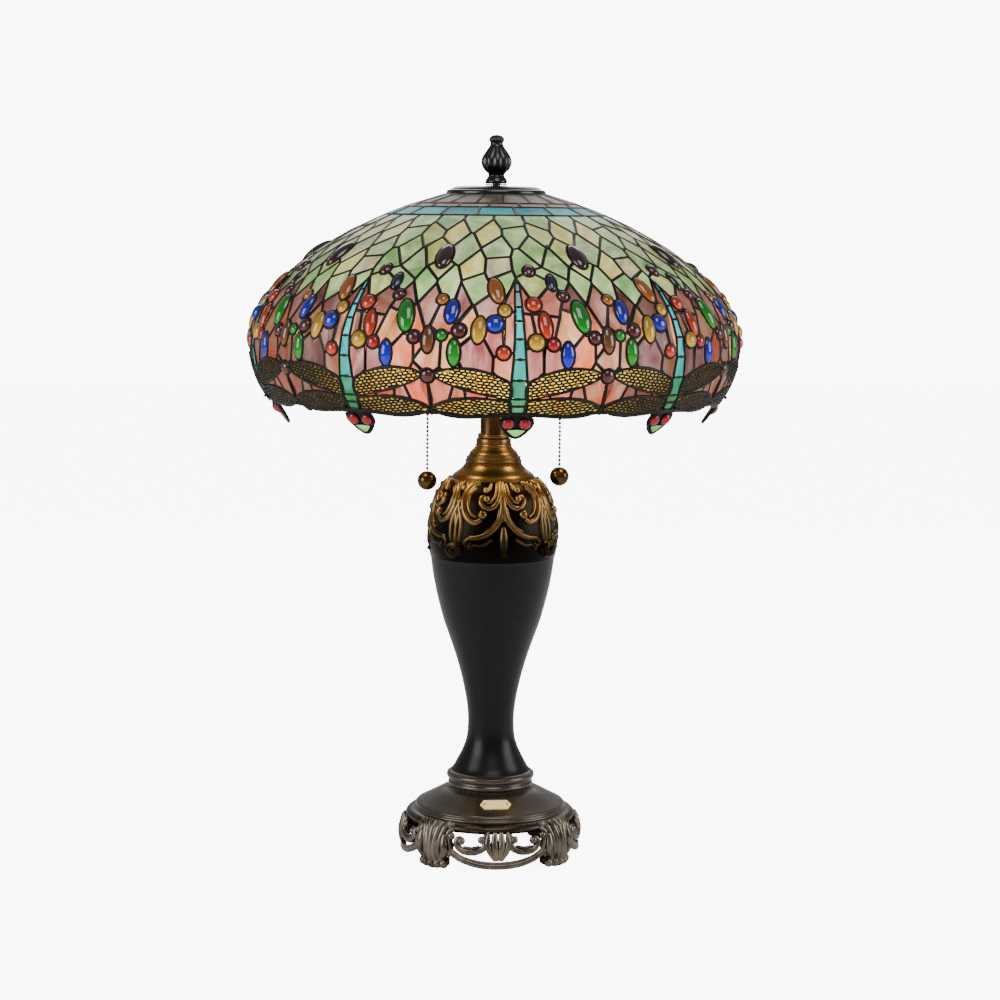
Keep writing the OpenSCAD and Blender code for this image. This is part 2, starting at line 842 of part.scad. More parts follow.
// Vented metal cap over the crown opening
module vase_cap() {
    shoulder_z = cap_edge_z + cap_edge_h;
    color("#2b2722")
    turned([[crown_r, cap_edge_z], [crown_r, shoulder_z], [crown_r - 11, cap_top_z - 1.2],
        [seat_r + 1, cap_top_z], [riser_r + run_gap, cap_top_z],
        [riser_r + run_gap, cap_top_z - cap_t], [seat_r + 1, cap_top_z - cap_t],
        [crown_r - 11.4, cap_top_z - cap_t - 1.2], [crown_r - cap_t, shoulder_z - 1],
        [crown_r - cap_t, cap_edge_z]]);
}

// Ring inside the cap that the glass is soldered to
module crown_ring() {
    out_r = crown_r - cap_t - seat_gap;
    color("#3a332a")
    tube(out_r, out_r - crown_ring_w, cap_edge_z, cap_edge_z + crown_ring_h);
}

// Row of equal tiles round the crown, staggered by half a tile where asked
module crown_row(v_low, v_high, stagger) {
    step = 360 / crown_tiles;
    for (i = [0:crown_tiles - 1])
        tile(v_low, v_high, (i + stagger) * step, (i + 1 + stagger) * step);
}

// Top of the glass, just clear of the cap
v_top = further(1, -1);

// Row of grey green tiles
module crown_row_green() {
    color("#a3aa95")
    crown_row(v_green, v_top, 0);
}

// Narrow row of pink tiles
module crown_row_pink() {
    color("#dcaaa2")
    crown_row(v_pink, v_green, 0.5);
}

// Row of teal tiles
module crown_row_teal() {
    color("#3f9aa4")
    crown_row(v_teal, v_pink, 0);
}

// Rows of olive leaf glass
module leaf_glass() {
    color("#a0a775")
    difference() {
        union() {
            crown_row(v_leaf, v_teal, 0.5);
            for (i = [0:dragonflies - 1], share = [0.25, 0.75])
                tile(v_blush, v_leaf, fly_angle(i) + share * sector, fly_angle(i) + (share + 0.5) * sector);
        }
        at_jewels()
            cylinder(r = jewel_r + seat_gap, h = 6 * glass_t, center = true, $fn = small_fn);
    }
}

// One row of blush glass, split by each dragonfly
module blush_row(v_low, v_high, gap) {
    for (i = [0:dragonflies - 1]) {
        tile(v_low, v_high, fly_angle(i) + gap, fly_angle(i) + sector / 2);
        tile(v_low, v_high, fly_angle(i) + sector / 2, fly_angle(i) + sector - gap);
    }
}

// Rows of salmon and peach glass between the tails, and the pieces between wing tips
module blush_glass() {
    color("#d28c6c")
    difference() {
        union() {
            blush_row(v_blush_mid, v_blush, tail_half());
            blush_row(v_wing, v_blush_mid, tail_half());
            for (i = [0:dragonflies - 1])
                tile(-1, v_wing, fly_angle(i) + wing_reach * sector,
                    fly_angle(i) + (1 - wing_reach) * sector);
        }
        at_jewels()
            cylinder(r = jewel_r + seat_gap, h = 6 * glass_t, center = true, $fn = small_fn);
    }
}

// Four amber wings of each dragonfly
module wing_glass() {
    reach = wing_reach * sector;
    color("#d9a92f")
    for (i = [0:dragonflies - 1], rows = [[v_wing_mid, v_wing], [-1, v_wing_mid]]) {
        tile(rows[0], rows[1], fly_angle(i) + thorax_half(), fly_angle(i) + reach);
        tile(rows[0], rows[1], fly_angle(i) - reach, fly_angle(i) - thorax_half());
    }
}

// Tail and thorax of each dragonfly
module dragonfly_bodies() {
    color("#4fae8e")
    for (i = [0:dragonflies - 1]) {
        tile(v_wing, v_blush, fly_angle(i) - tail_half(), fly_angle(i) + tail_half());
        tile(-1, v_wing, fly_angle(i) - thorax_half(), fly_angle(i) + thorax_half());
    }
}

// Places children on a head panel: +X runs down along it, +Z is its outer face
module at_heads() {
    for (i = [0:dragonflies - 1])
        rotate([0, 0, fly_angle(i)])
            translate([rim_r - head_drop * sin(belly_turn), 0, rim_low_z - head_drop * cos(belly_turn)])
                rotate([0, 180 - head_slope, 0])
                    children();
}

// Places children at both eyes of each head
module at_eyes() {
    at_heads()
        for (side = [-1, 1])
            translate([head_l * 0.3, side * (eye_r + 1.8), 0])
                children();
}

// Head panels that hang from the rim in line with the glass
module dragonfly_heads() {
    color("#9bbf4f")
    difference() {
        at_heads()
            translate([0, 0, -head_t])
                linear_extrude(head_t)
                    polygon([[0, -head_w / 3], [head_l * 0.15, -head_w / 2], [head_l * 0.42, -head_w / 2],
                        [head_l * 0.82, -head_w * 0.2], [head_l, -2], [head_l, 2],
                        [head_l * 0.82, head_w * 0.2], [head_l * 0.42, head_w / 2],
                        [head_l * 0.15, head_w / 2], [0, head_w / 3]]);
        at_eyes()
            cylinder(r = eye_r + eye_gap, h = 6 * head_t, center = true, $fn = small_fn);
    }
}

// Red glass eyes
module dragonfly_eyes() {
    color("#b3281e")
    at_eyes()
        translate([0, 0, -head_t])
            union() {
                cylinder(r = eye_r, h = head_t, $fn = small_fn);
                translate([0, 0, head_t])
                    cylinder(r1 = eye_r, r2 = eye_r - 2.5, h = 1.6, $fn = small_fn);
            }
}

// Pressed glass jewels set into the glass
module jewels() {
    color("#7a1d22")
    at_jewels()
        translate([0, 0, -glass_t])
            union() {
                cylinder(r = jewel_r, h = glass_t, $fn = small_fn);
                translate([0, 0, glass_t])
                    cylinder(r1 = jewel_r, r2 = jewel_r - 3, h = jewel_t - glass_t, $fn = small_fn);
            }
}

// Lead lines that run round the shade, and the wire at the rim
module lead_rings() {
    tail = tail_half() + width_angle(came_w / 2, 0);
    thorax = thorax_half() + width_angle(came_w / 2, -0.4);
    color("#2c2823")
    union() {
        for (v = [v_green, v_pink, v_teal, v_leaf, v_blush, -1])
            lead_arc(v, 0, 360);
        for (i = [0:dragonflies - 1]) {
            lead_arc(v_blush_mid, fly_angle(i) + tail, fly_angle(i) + sector - tail);
            lead_arc(v_wing, fly_angle(i) + thorax, fly_angle(i) + sector - thorax);
            lead_arc(v_wing_mid, fly_angle(i) + thorax, fly_angle(i) + wing_reach * sector - 0.3);
            lead_arc(v_wing_mid, fly_angle(i) - wing_reach * sector + 0.3, fly_angle(i) - thorax);
        }
    }
}

// Lead lines that run up the shade
module lead_ribs() {
    step = 360 / crown_tiles;
    color("#2c2823")
    for (i = [0:crown_tiles - 1]) {
        lead_rib(v_green, v_top, i * step);
        lead_rib(v_pink, v_green, (i + 0.5) * step);
        lead_rib(v_teal, v_pink, i * step);
        lead_rib(v_leaf, v_teal, (i + 0.5) * step);
    }
    color("#2c2823")
    for (i = [0:dragonflies - 1]) {
        lead_rib(v_blush, v_leaf, fly_angle(i) + sector / 4);
        lead_rib(v_blush, v_leaf, fly_angle(i) - sector / 4);
        lead_rib(v_blush_mid, v_blush, fly_angle(i) + sector / 2);
        lead_rib(v_wing, v_blush_mid, fly_angle(i) + sector / 2);
        for (side = [-1, 1]) {
            lead_rib(v_blush_mid, v_blush, fly_angle(i) + side * tail_half());
            lead_rib(-1, v_wing_mid, fly_angle(i) + side * thorax_half());
            lead_rib(-1, v_wing_mid, fly_angle(i) + side * wing_reach * sector);
            lead_rib(v_wing_mid, v_wing, fly_angle(i) + side * thorax_half());
            lead_rib(v_wing_mid, v_wing, fly_angle(i) + side * wing_reach * sector);
        }
    }
}

// Draws the right piece, or its mirror image on the left
module sided(side) {
    mirror([side == "left" ? 1 : 0, 0, 0])
        children();
}

foot_casting();
foot_pads();
base_plinth();
ballast_plate();
base_washer();
base_nut();
base_moulding();
urn_body();
scroll_collar();
neck_cone_lower();
neck_cone_upper();
stem_tube();
lamp_pipe();
name_plate();
name_plate_pins();
cord_bushing();
cluster_body();
cluster_cap();
riser_rod();
shade_seat();
sided("left") socket_cap();  // left_socket_cap
sided("left") socket_shell();  // left_socket_shell
sided("left") socket_liner();  // left_socket_liner
sided("left") screw_shell();  // left_screw_shell
sided("left") switch_body();  // left_switch_body
sided("left") chain_bell();  // left_chain_bell
sided("left") switch_rotor();  // left_switch_rotor
sided("left") chain_slider();  // left_chain_slider
sided("left") pull_chain(left_beads);  // left_pull_chain
sided("left") pull_ball(left_beads);  // left_pull_ball
sided("left") bulb_base();  // left_bulb_base
sided("left") bulb_glass();  // left_bulb_glass
socket_cap();  // right_socket_cap
socket_shell();  // right_socket_shell
socket_liner();  // right_socket_liner
screw_shell();  // right_screw_shell
switch_body();  // right_switch_body
chain_bell();  // right_chain_bell
switch_rotor();  // right_switch_rotor
chain_slider();  // right_chain_slider
pull_chain(right_beads);  // right_pull_chain
pull_ball(right_beads);  // right_pull_ball
bulb_base();  // right_bulb_base
bulb_glass();  // right_bulb_glass
finial();
finial_washer();
vase_cap();
crown_ring();
crown_row_green();
crown_row_pink();
crown_row_teal();
leaf_glass();
blush_glass();
wing_glass();
dragonfly_bodies();
dragonfly_heads();
dragonfly_eyes();
jewels();
lead_rings();
lead_ribs();
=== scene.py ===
import math
import random

import bpy
import numpy as np
from bpy.props import FloatProperty, FloatVectorProperty, IntProperty, PointerProperty
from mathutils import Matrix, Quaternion, Vector
from mathutils.geometry import delaunay_2d_cdt, tessellate_polygon


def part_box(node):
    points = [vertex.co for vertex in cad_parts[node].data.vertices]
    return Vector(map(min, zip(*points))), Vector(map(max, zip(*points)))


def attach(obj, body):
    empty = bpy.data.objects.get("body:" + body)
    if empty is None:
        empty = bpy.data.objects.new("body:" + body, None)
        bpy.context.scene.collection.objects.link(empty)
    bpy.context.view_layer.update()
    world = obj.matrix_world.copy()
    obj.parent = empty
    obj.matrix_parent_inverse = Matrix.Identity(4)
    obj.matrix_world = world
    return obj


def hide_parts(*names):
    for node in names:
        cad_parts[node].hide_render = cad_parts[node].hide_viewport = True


bl_info = {
    "name": "Dragonfly Table Lamp",
    "version": (1, 0, 0),
    "blender": (4, 5, 0),
    "location": "View3D > Sidebar > Lamp",
    "description": "Builds the looks of a leaded glass table lamp around its CAD frame",
    "category": "Add Mesh",
}

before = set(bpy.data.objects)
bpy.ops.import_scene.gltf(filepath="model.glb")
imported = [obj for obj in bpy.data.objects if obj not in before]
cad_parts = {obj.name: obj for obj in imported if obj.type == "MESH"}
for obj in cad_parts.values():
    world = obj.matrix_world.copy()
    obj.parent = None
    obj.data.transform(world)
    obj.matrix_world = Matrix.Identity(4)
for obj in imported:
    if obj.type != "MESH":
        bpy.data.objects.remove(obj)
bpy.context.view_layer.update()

MM = 0.001
TURN = 2 * math.pi
FLIES = 9
SECTOR = 360 / FLIES


# ---------------------------------------------------------------- sizes and colours


class LampSizes(bpy.types.PropertyGroup):
    """Sizes that change the look without moving a CAD part"""

    lead_width: FloatProperty(
        name="Lead width", description="Width of a solder line between two pieces of glass",
        default=3.2 * MM, min=1 * MM, max=4 * MM, unit="LENGTH")
    lead_height: FloatProperty(
        name="Lead height", description="How far a solder line stands above the glass",
        default=1.0 * MM, min=0.2 * MM, max=2 * MM, unit="LENGTH")
    glass_thickness: FloatProperty(
        name="Glass thickness", description="Thickness of the sheet glass",
        default=3 * MM, min=1 * MM, max=5 * MM, unit="LENGTH")
    jewel_dome: FloatProperty(
        name="Jewel dome", description="Height of a pressed jewel as a share of its half width",
        default=0.62, min=0.2, max=1.0, subtype="FACTOR")
    filigree_wire: FloatProperty(
        name="Filigree wire", description="Width of the metal between two holes of a wing",
        default=1.5 * MM, min=0.4 * MM, max=2 * MM, unit="LENGTH")
    turning_steps: IntProperty(
        name="Turning steps", description="Faces round each turned piece",
        default=96, min=24, max=192)
    camera_distance: FloatProperty(
        name="Camera distance", description="Distance from the camera to the middle of the lamp",
        default=2.603, min=1.0, max=6.0, unit="LENGTH")


class LampColours(bpy.types.PropertyGroup):
    """Main colours of the lamp"""

    urn: FloatVectorProperty(
        name="Urn", description="Dark bronze of the urn and plinth", subtype="COLOR",
        size=3, default=(0.0022, 0.0021, 0.0022), min=0, max=1)
    bronze: FloatVectorProperty(
        name="Bronze", description="Worn bronze on raised scroll work", subtype="COLOR",
        size=3, default=(0.46, 0.280, 0.105), min=0, max=1)
    pewter: FloatVectorProperty(
        name="Pewter", description="Worn metal on the raised parts of the feet", subtype="COLOR",
        size=3, default=(0.24, 0.200, 0.160), min=0, max=1)
    lead: FloatVectorProperty(
        name="Lead", description="Dark patina of the solder lines", subtype="COLOR",
        size=3, default=(0.006, 0.0055, 0.005), min=0, max=1)
    brass: FloatVectorProperty(
        name="Brass", description="Brass of the name plate", subtype="COLOR",
        size=3, default=(1.0, 0.78, 0.30), min=0, max=1)
    floor: FloatVectorProperty(
        name="Floor", description="Pale floor", subtype="COLOR",
        size=3, default=(0.86, 0.86, 0.86), min=0, max=1)


def sizes():
    """Sizes set in the sidebar."""
    return bpy.context.scene.lamp_sizes


def colours():
    """Colours set in the sidebar."""
    return bpy.context.scene.lamp_colours


# ---------------------------------------------------------------- places taken from the frame


def low(node):
    """Lowest corner of a CAD node's box."""
    return Vector(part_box(node)[0])


def high(node):
    """Highest corner of a CAD node's box."""
    return Vector(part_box(node)[1])


def bore_over(rod):
    """Radius of a hole that clears a CAD rod."""
    return high(rod).x + 0.1 * MM


# Height and radius of the shade's crown edge, its widest radius, the fall from the crown to the
# rim, and the round belly above the rim
CROWN_Z = low("vase_cap").z + 1 * MM
CROWN_R = high("vase_cap").x
SHADE_R = high("lead_rings").x - 0.8 * MM
SHADE_DROP = 209 * MM
BELLY_RISE = 58 * MM
BELLY_R = 96 * MM
BELLY_Z = CROWN_Z - SHADE_DROP + BELLY_RISE


def shade_line():
    """Points (radius, height) down the shade's outer face, from the crown to below the rim."""
    steps = 600
    shoulder_out = 0.54
    shoulder_drop = 0.19
    side_rise = 0.377
    past_rim = 1.25
    rise = CROWN_Z - BELLY_Z
    corner = [(CROWN_R, CROWN_Z),
              (CROWN_R + shoulder_out * (SHADE_R - CROWN_R), CROWN_Z - shoulder_drop * rise),
              (SHADE_R, BELLY_Z + side_rise * rise), (SHADE_R, BELLY_Z)]
    line = []
    for i in range(steps):
        t = i / steps
        a, b, c, d = (1 - t) ** 3, 3 * (1 - t) ** 2 * t, 3 * (1 - t) * t * t, t ** 3
        line.append(tuple(sum(k * p[j] for k, p in zip((a, b, c, d), corner)) for j in (0, 1)))
    last = math.asin(BELLY_RISE / BELLY_R) * past_rim
    for i in range(steps // 3 + 1):
        turn = last * i / (steps // 3)
        line.append((SHADE_R - BELLY_R * (1 - math.cos(turn)), BELLY_Z - BELLY_R * math.sin(turn)))
    return np.array(line)


# The shade's outer face, and the distance down it in millimetres at each of its points
LINE = shade_line()
RUN = np.concatenate([[0], np.cumsum(np.hypot(*np.diff(LINE, axis=0).T))]) / MM


def radius_at(s):
    """Radius of the shade s millimetres down its face from the crown."""
    return float(np.interp(s, RUN, LINE[:, 0]))


def normal_at(s):
    """Outward direction of the face as (radial, upward)."""
    a = np.array([np.interp(s - 2, RUN, LINE[:, i]) for i in (0, 1)])
    b = np.array([np.interp(s + 2, RUN, LINE[:, i]) for i in (0, 1)])
    d = (b - a) / np.hypot(*(b - a))
    return -d[1], d[0]


def on_shade(u, s, out=0.0):
    """Point on the shade, u degrees to the right of the front dragonfly and out metres proud."""
    angle = math.radians(u - 90)
    nr, nz = normal_at(s)
    r = radius_at(s) + nr * out
    z = float(np.interp(s, RUN, LINE[:, 1])) + nz * out
    return Vector((r * math.cos(angle), r * math.sin(angle), z))


def degrees_for(width, s):
    """Angle in degrees that a width in millimetres takes up round the shade."""
    return math.degrees(width * MM / radius_at(s))


# ---------------------------------------------------------------- making meshes


def rest():
    """Leaves edit mode and deselects everything."""
    if bpy.context.mode != "OBJECT":
        bpy.ops.object.mode_set(mode="OBJECT")
    bpy.ops.object.select_all(action="DESELECT")


def choose(obj):
    """Selects one object and makes it active."""
    rest()
    obj.select_set(True)
    bpy.context.view_layer.objects.active = obj


def edit(obj):
    """Enters edit mode on an object with all of its mesh selected."""
    choose(obj)
    bpy.ops.object.mode_set(mode="EDIT")
    bpy.ops.mesh.select_all(action="SELECT")


def mesh_from(name, points, faces=(), edges=()):
    """New object from points, selected on its own."""
    mesh = bpy.data.meshes.new(name)
    mesh.from_pydata([tuple(p) for p in points], [tuple(e) for e in edges], [tuple(f) for f in faces])
    mesh.update()
    obj = bpy.data.objects.new(name, mesh)
    bpy.context.collection.objects.link(obj)
    choose(obj)
    return obj


def tidy_mesh(obj, gap=1e-6):
    """Merges points that lie within a gap and turns every face outwards."""
    edit(obj)
    bpy.ops.mesh.remove_doubles(threshold=gap)
    bpy.ops.mesh.normals_make_consistent(inside=False)
    rest()


def smooth(obj, angle=40):
    """Shades a mesh smooth except where it bends by more than an angle in degrees."""
    choose(obj)
    bpy.ops.object.shade_smooth_by_angle(angle=math.radians(angle))


def apply_place(obj):
    """Writes an object's place, turn and scale into its mesh."""
    choose(obj)
    bpy.ops.object.transform_apply(location=True, rotation=True, scale=True)


def apply_modifier(obj, kind, **settings):
    """Adds a modifier with its settings and applies it."""
    choose(obj)
    modifier = obj.modifiers.new(kind.title(), kind)
    for key, value in settings.items():
        setattr(modifier, key, value)
    bpy.ops.object.modifier_apply(modifier=modifier.name)


def between(a, b, c, d, t):
    """Point at share t between b and c on a Catmull-Rom curve through four points."""
    return 0.5 * (2 * b + (c - a) * t + (2 * a - 5 * b + 4 * c - d) * t * t
                  + (3 * b - a - 3 * c + d) * t ** 3)


def flow(points, count=8):
    """Smooth line through points."""
    if len(points) < 3:
        return list(points)
    pts = [Vector(p) for p in points]
    pts = [2 * pts[0] - pts[1]] + pts + [2 * pts[-1] - pts[-2]]
    line = []
    for four in zip(pts, pts[1:], pts[2:], pts[3:]):
        line += [between(*four, i / count) for i in range(count)]
    return line + [pts[-2]]


def outline(*parts):
    """Joins smooth parts into one line with a corner where two parts meet."""
    line = []
    for part in parts:
        for p in flow(part):
            if not line or (Vector(p) - line[-1]).length > 1e-7:
                line.append(Vector(p))
    return line


def turned(name, line, steps=None):
    """Spins a closed line of (radius, height) in metres about the lamp's axis."""
    points = [(p[0], 0, p[1]) for p in line]
    count = len(points)
    obj = mesh_from(name, points, edges=[(i, (i + 1) % count) for i in range(count)])
    edit(obj)
    bpy.ops.mesh.spin(steps=steps or sizes().turning_steps, angle=TURN, center=(0, 0, 0), axis=(0, 0, 1))
    rest()
    tidy_mesh(obj)
    smooth(obj)
    return obj


def joined(name, parts):
    """Joins objects into one with a name."""
    rest()
    for part in parts:
        part.select_set(True)
    bpy.context.view_layer.objects.active = parts[0]
    bpy.ops.object.join()
    obj = bpy.context.view_layer.objects.active
    obj.name = name
    obj.data.name = name
    return obj


def wire(name, points, radii, sides=10, closed=False):
    """Round bar through points, with a radius at each, as a mesh."""
    curve = bpy.data.curves.new(name, "CURVE")
    curve.dimensions = "3D"
    curve.bevel_depth = 1.0
    curve.bevel_resolution = max(0, sides // 2 - 2)
    curve.use_fill_caps = True
    spline = curve.splines.new("POLY")
    spline.points.add(len(points) - 1)
    spline.use_cyclic_u = closed
    for i, p in enumerate(points):
        spline.points[i].co = (*p, 1)
        spline.points[i].radius = radii[i] if hasattr(radii, "__len__") else radii
    obj = bpy.data.objects.new(name, curve)
    bpy.context.collection.objects.link(obj)
    choose(obj)
    bpy.ops.object.convert(target="MESH")
    return bpy.context.view_layer.objects.active


def repeat(obj, count, first=0.0):
    """Copies a piece round the lamp's axis and joins the copies."""
    parts = []
    for i in range(count):
        choose(obj)
        bpy.ops.object.duplicate(linked=False)
        copy = bpy.context.view_layer.objects.active
        copy.rotation_euler = (0, 0, first + TURN * i / count)
        apply_place(copy)
        parts.append(copy)
    name = obj.name
    bpy.data.objects.remove(obj)
    return joined(name, parts)


def paint_tint(obj, tints):
    """Writes one colour per face as a point colour."""
    layer = obj.data.color_attributes.new("tint", "FLOAT_COLOR", "CORNER")
    values = np.ones((len(obj.data.loops), 4), dtype=np.float32)
    for polygon, tint in zip(obj.data.polygons, tints):
        values[polygon.loop_start:polygon.loop_start + polygon.loop_total, :3] = tint
    layer.data.foreach_set("color", values.ravel())


def paint_wear(obj, reach=2.0):
    """Writes how far each point stands out from its neighbours, for worn high spots."""
    mesh = obj.data
    count = len(mesh.vertices)
    places = np.empty(count * 3)
    normals = np.empty(count * 3)
    mesh.vertices.foreach_get("co", places)
    mesh.vertices.foreach_get("normal", normals)
    places, normals = places.reshape(-1, 3), normals.reshape(-1, 3)
    ends = np.empty(len(mesh.edges) * 2, dtype=np.int32)
    mesh.edges.foreach_get("vertices", ends)
    a, b = ends.reshape(-1, 2).T
    bend = np.zeros(count)
    share = np.zeros(count)
    for here, there in ((a, b), (b, a)):
        step = places[there] - places[here]
        size = np.linalg.norm(step, axis=1) + 1e-9
        np.add.at(bend, here, -(step * normals[here]).sum(axis=1) / size)
        np.add.at(share, here, 1)
    bend = bend / np.maximum(share, 1)
    for _ in range(2):
        total = np.zeros(count)
        np.add.at(total, a, bend[b])
        np.add.at(total, b, bend[a])
        bend = 0.5 * bend + 0.5 * total / np.maximum(share, 1)
    layer = mesh.attributes.new("wear", "FLOAT", "POINT")
    layer.data.foreach_set("value", np.clip(bend * reach, 0, 1).astype(np.float32))


def place(obj, body, slot, material, *nodes):
    """Gives a finished piece its material and its body, and hides the CAD nodes that it stands for."""
    obj.data.materials.clear()
    obj.data.materials.append(material)
    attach(obj, body)
    if nodes:
        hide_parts(*nodes)


# ---------------------------------------------------------------- materials


def feed(tree, shader, sockets):
    """Sets a node's inputs; each value is a number, a colour or another node's output."""
    for key, value in sockets.items():
        if isinstance(value, bpy.types.NodeSocket):
            tree.links.new(value, shader.inputs[key])
        else:
            shader.inputs[key].default_value = value


def node(tree, kind, sockets=None, **settings):
    """Adds a shader node with its inputs and its own settings."""
    new = tree.nodes.new(kind)
    for key, value in settings.items():
        setattr(new, key, value)
    feed(tree, new, sockets or {})
    return new


def group(name, inputs, outputs):
    """New node group with its inner ends."""
    tree = bpy.data.node_groups.new(name, "ShaderNodeTree")
    for key, value in inputs.items():
        socket = tree.interface.new_socket(name=key, in_out="INPUT", socket_type="NodeSocketFloat")
        socket.default_value = value
    for key in outputs:
        tree.interface.new_socket(name=key, in_out="OUTPUT", socket_type="NodeSocketFloat")
    return tree, tree.nodes.new("NodeGroupInput"), tree.nodes.new("NodeGroupOutput")


def cloud_group():
    """Two sizes of mottling on object coordinates, for patina and dust."""
    tree, start, end = group("Mottle", {"Scale": 30.0, "Contrast": 0.5}, ["Mask", "Grain"])
    where = node(tree, "ShaderNodeTexCoord")
    broad = node(tree, "ShaderNodeTexNoise", {"Vector": where.outputs["Object"],
                 "Scale": start.outputs["Scale"], "Detail": 5.0, "Roughness": 0.62})
    finer = node(tree, "ShaderNodeMath", {0: start.outputs["Scale"], 1: 9.0}, operation="MULTIPLY")
    grain = node(tree, "ShaderNodeTexNoise", {"Vector": where.outputs["Object"],
                 "Scale": finer.outputs[0], "Detail": 3.0, "Roughness": 0.6})
    middle = node(tree, "ShaderNodeMath", {0: broad.outputs["Fac"], 1: 0.5}, operation="SUBTRACT")
    gain = node(tree, "ShaderNodeMath", {0: start.outputs["Contrast"], 1: 4.0}, operation="MULTIPLY")
    mask = node(tree, "ShaderNodeMath", {0: middle.outputs[0], 1: gain.outputs[0], 2: 0.5},
                operation="MULTIPLY_ADD", use_clamp=True)
    tree.links.new(mask.outputs[0], end.inputs["Mask"])
    tree.links.new(grain.outputs["Fac"], end.inputs["Grain"])
    return tree


def streak_group():
    """Long wisps and short ripples, as in rolled art glass."""
    tree, start, end = group("Glass wisps", {"Scale": 26.0}, ["Wisp", "Ripple"])
    where = node(tree, "ShaderNodeTexCoord")
    long_way = node(tree, "ShaderNodeMapping", {"Vector": where.outputs["Object"],
                    "Rotation": (0.3, 0.5, 0.4), "Scale": (1.0, 1.0, 0.35)})
    wisp = node(tree, "ShaderNodeTexNoise", {"Vector": long_way.outputs["Vector"],
                "Scale": start.outputs["Scale"], "Detail": 4.0, "Roughness": 0.55, "Distortion": 1.6})
    spread = node(tree, "ShaderNodeMapRange", {"Value": wisp.outputs["Fac"], "From Min": 0.34,
                  "From Max": 0.68})
    fine = node(tree, "ShaderNodeMath", {0: start.outputs["Scale"], 1: 7.0}, operation="MULTIPLY")
    ripple = node(tree, "ShaderNodeTexNoise", {"Vector": long_way.outputs["Vector"],
                  "Scale": fine.outputs[0], "Detail": 2.0})
    tree.links.new(spread.outputs["Result"], end.inputs["Wisp"])
    tree.links.new(ripple.outputs["Fac"], end.inputs["Ripple"])
    return tree


def use_group(tree, inner, values):
    """Places a node group with its values."""
    new = node(tree, "ShaderNodeGroup", node_tree=inner)
    feed(tree, new, values)
    return new


def blank_material(name):
    """New material with its tree and its Principled shader."""
    material = bpy.data.materials.new(name)
    material.use_nodes = True
    tree = material.node_tree
    return material, tree, tree.nodes["Principled BSDF"]


def mix(tree, factor, a, b, blend="MIX"):
    """Colour mix; a and b are colours or sockets."""
    new = tree.nodes.new("ShaderNodeMix")
    new.data_type = "RGBA"
    new.blend_type = blend
    for socket, value in ((new.inputs[0], factor), (new.inputs[6], a), (new.inputs[7], b)):
        if isinstance(value, bpy.types.NodeSocket):
            tree.links.new(value, socket)
        else:
            socket.default_value = value if isinstance(value, float) else (*value[:3], 1)
    return new.outputs[2]


def metal(name, dark, bright, rough=(0.28, 0.5), scale=30.0, contrast=0.5, grain=0.12, coat=0.0,
          metallic=1.0, wear=1.0, base_wear=0.0, gloss=0.5):
    """Patinated metal: dark in the hollows, bright on worn high spots, with a fine grain."""
    material, tree, shader = blank_material(name)
    mottle = use_group(tree, GROUPS["cloud"], {"Scale": scale, "Contrast": contrast})
    worn = node(tree, "ShaderNodeAttribute", attribute_name="wear")
    much = node(tree, "ShaderNodeMath", {0: worn.outputs["Fac"], 1: wear, 2: base_wear},
                operation="MULTIPLY_ADD")
    patchy = node(tree, "ShaderNodeMath", {0: mottle.outputs["Mask"], 1: 0.7, 2: 0.3},
                  operation="MULTIPLY_ADD")
    amount = node(tree, "ShaderNodeMath", {0: much.outputs[0], 1: patchy.outputs[0]},
                  operation="MULTIPLY", use_clamp=True)
    shine = node(tree, "ShaderNodeMapRange", {"Value": mottle.outputs["Mask"], "To Min": rough[0],
                 "To Max": rough[1]})
    bump = node(tree, "ShaderNodeBump", {"Height": mottle.outputs["Grain"], "Strength": grain,
                "Distance": 0.0004})
    feed(tree, shader, {
        "Base Color": mix(tree, amount.outputs[0], dark, bright), "Roughness": shine.outputs["Result"],
        "Normal": bump.outputs["Normal"], "Metallic": metallic, "Specular IOR Level": gloss,
        "Coat Weight": coat, "Coat Roughness": 0.12})
    return material


def art_glass(name, glow, near, far, least, haze, pale=(0.80, 0.72, 0.52), gloss=0.3, dim=0.4):
    """Streaky opalescent glass in the colour of each piece, with the light from the bulbs through it painted
    in as glow.

    The painted glow fades from full where the glass faces the eye (near) to least at far.
    """
    material, tree, shader = blank_material(name)
    tint = node(tree, "ShaderNodeAttribute", attribute_name="tint")
    wisps = use_group(tree, GROUPS["streak"], {"Scale": 26.0})
    soft = node(tree, "ShaderNodeMath", {0: wisps.outputs["Wisp"], 1: haze}, operation="MULTIPLY")
    milky = mix(tree, soft.outputs[0], tint.outputs["Color"], pale)
    deep = mix(tree, 1.0, tint.outputs["Color"], tint.outputs["Color"], "MULTIPLY")
    dense = node(tree, "ShaderNodeMath", {0: wisps.outputs["Wisp"], 1: -0.7, 2: 0.6},
                 operation="MULTIPLY_ADD", use_clamp=True)
    colour = mix(tree, dense.outputs[0], milky, deep)
    facing = node(tree, "ShaderNodeLayerWeight", {"Blend": 0.5})
    # Painted light: the emitted glow stands in for the bulbs' light through the glass and fades where the
    # glass turns from the eye
    lit = node(tree, "ShaderNodeMapRange", {"Value": facing.outputs["Facing"], "From Min": near,
               "From Max": far, "To Min": 1.0, "To Max": least})
    ripples = node(tree, "ShaderNodeBump", {"Height": wisps.outputs["Ripple"], "Strength": 0.25,
                   "Distance": 0.0006})
    feed(tree, shader, {
        "Base Color": mix(tree, 1.0, colour, (dim, dim, dim), "MULTIPLY"),
        "Emission Color": mix(tree, 1.0, colour, lit.outputs["Result"], "MULTIPLY"),
        "Emission Strength": glow, "Roughness": 0.28, "Specular IOR Level": gloss,
        "Coat Weight": 0.2 * gloss, "Coat Roughness": 0.08, "Normal": ripples.outputs["Normal"]})
    return material


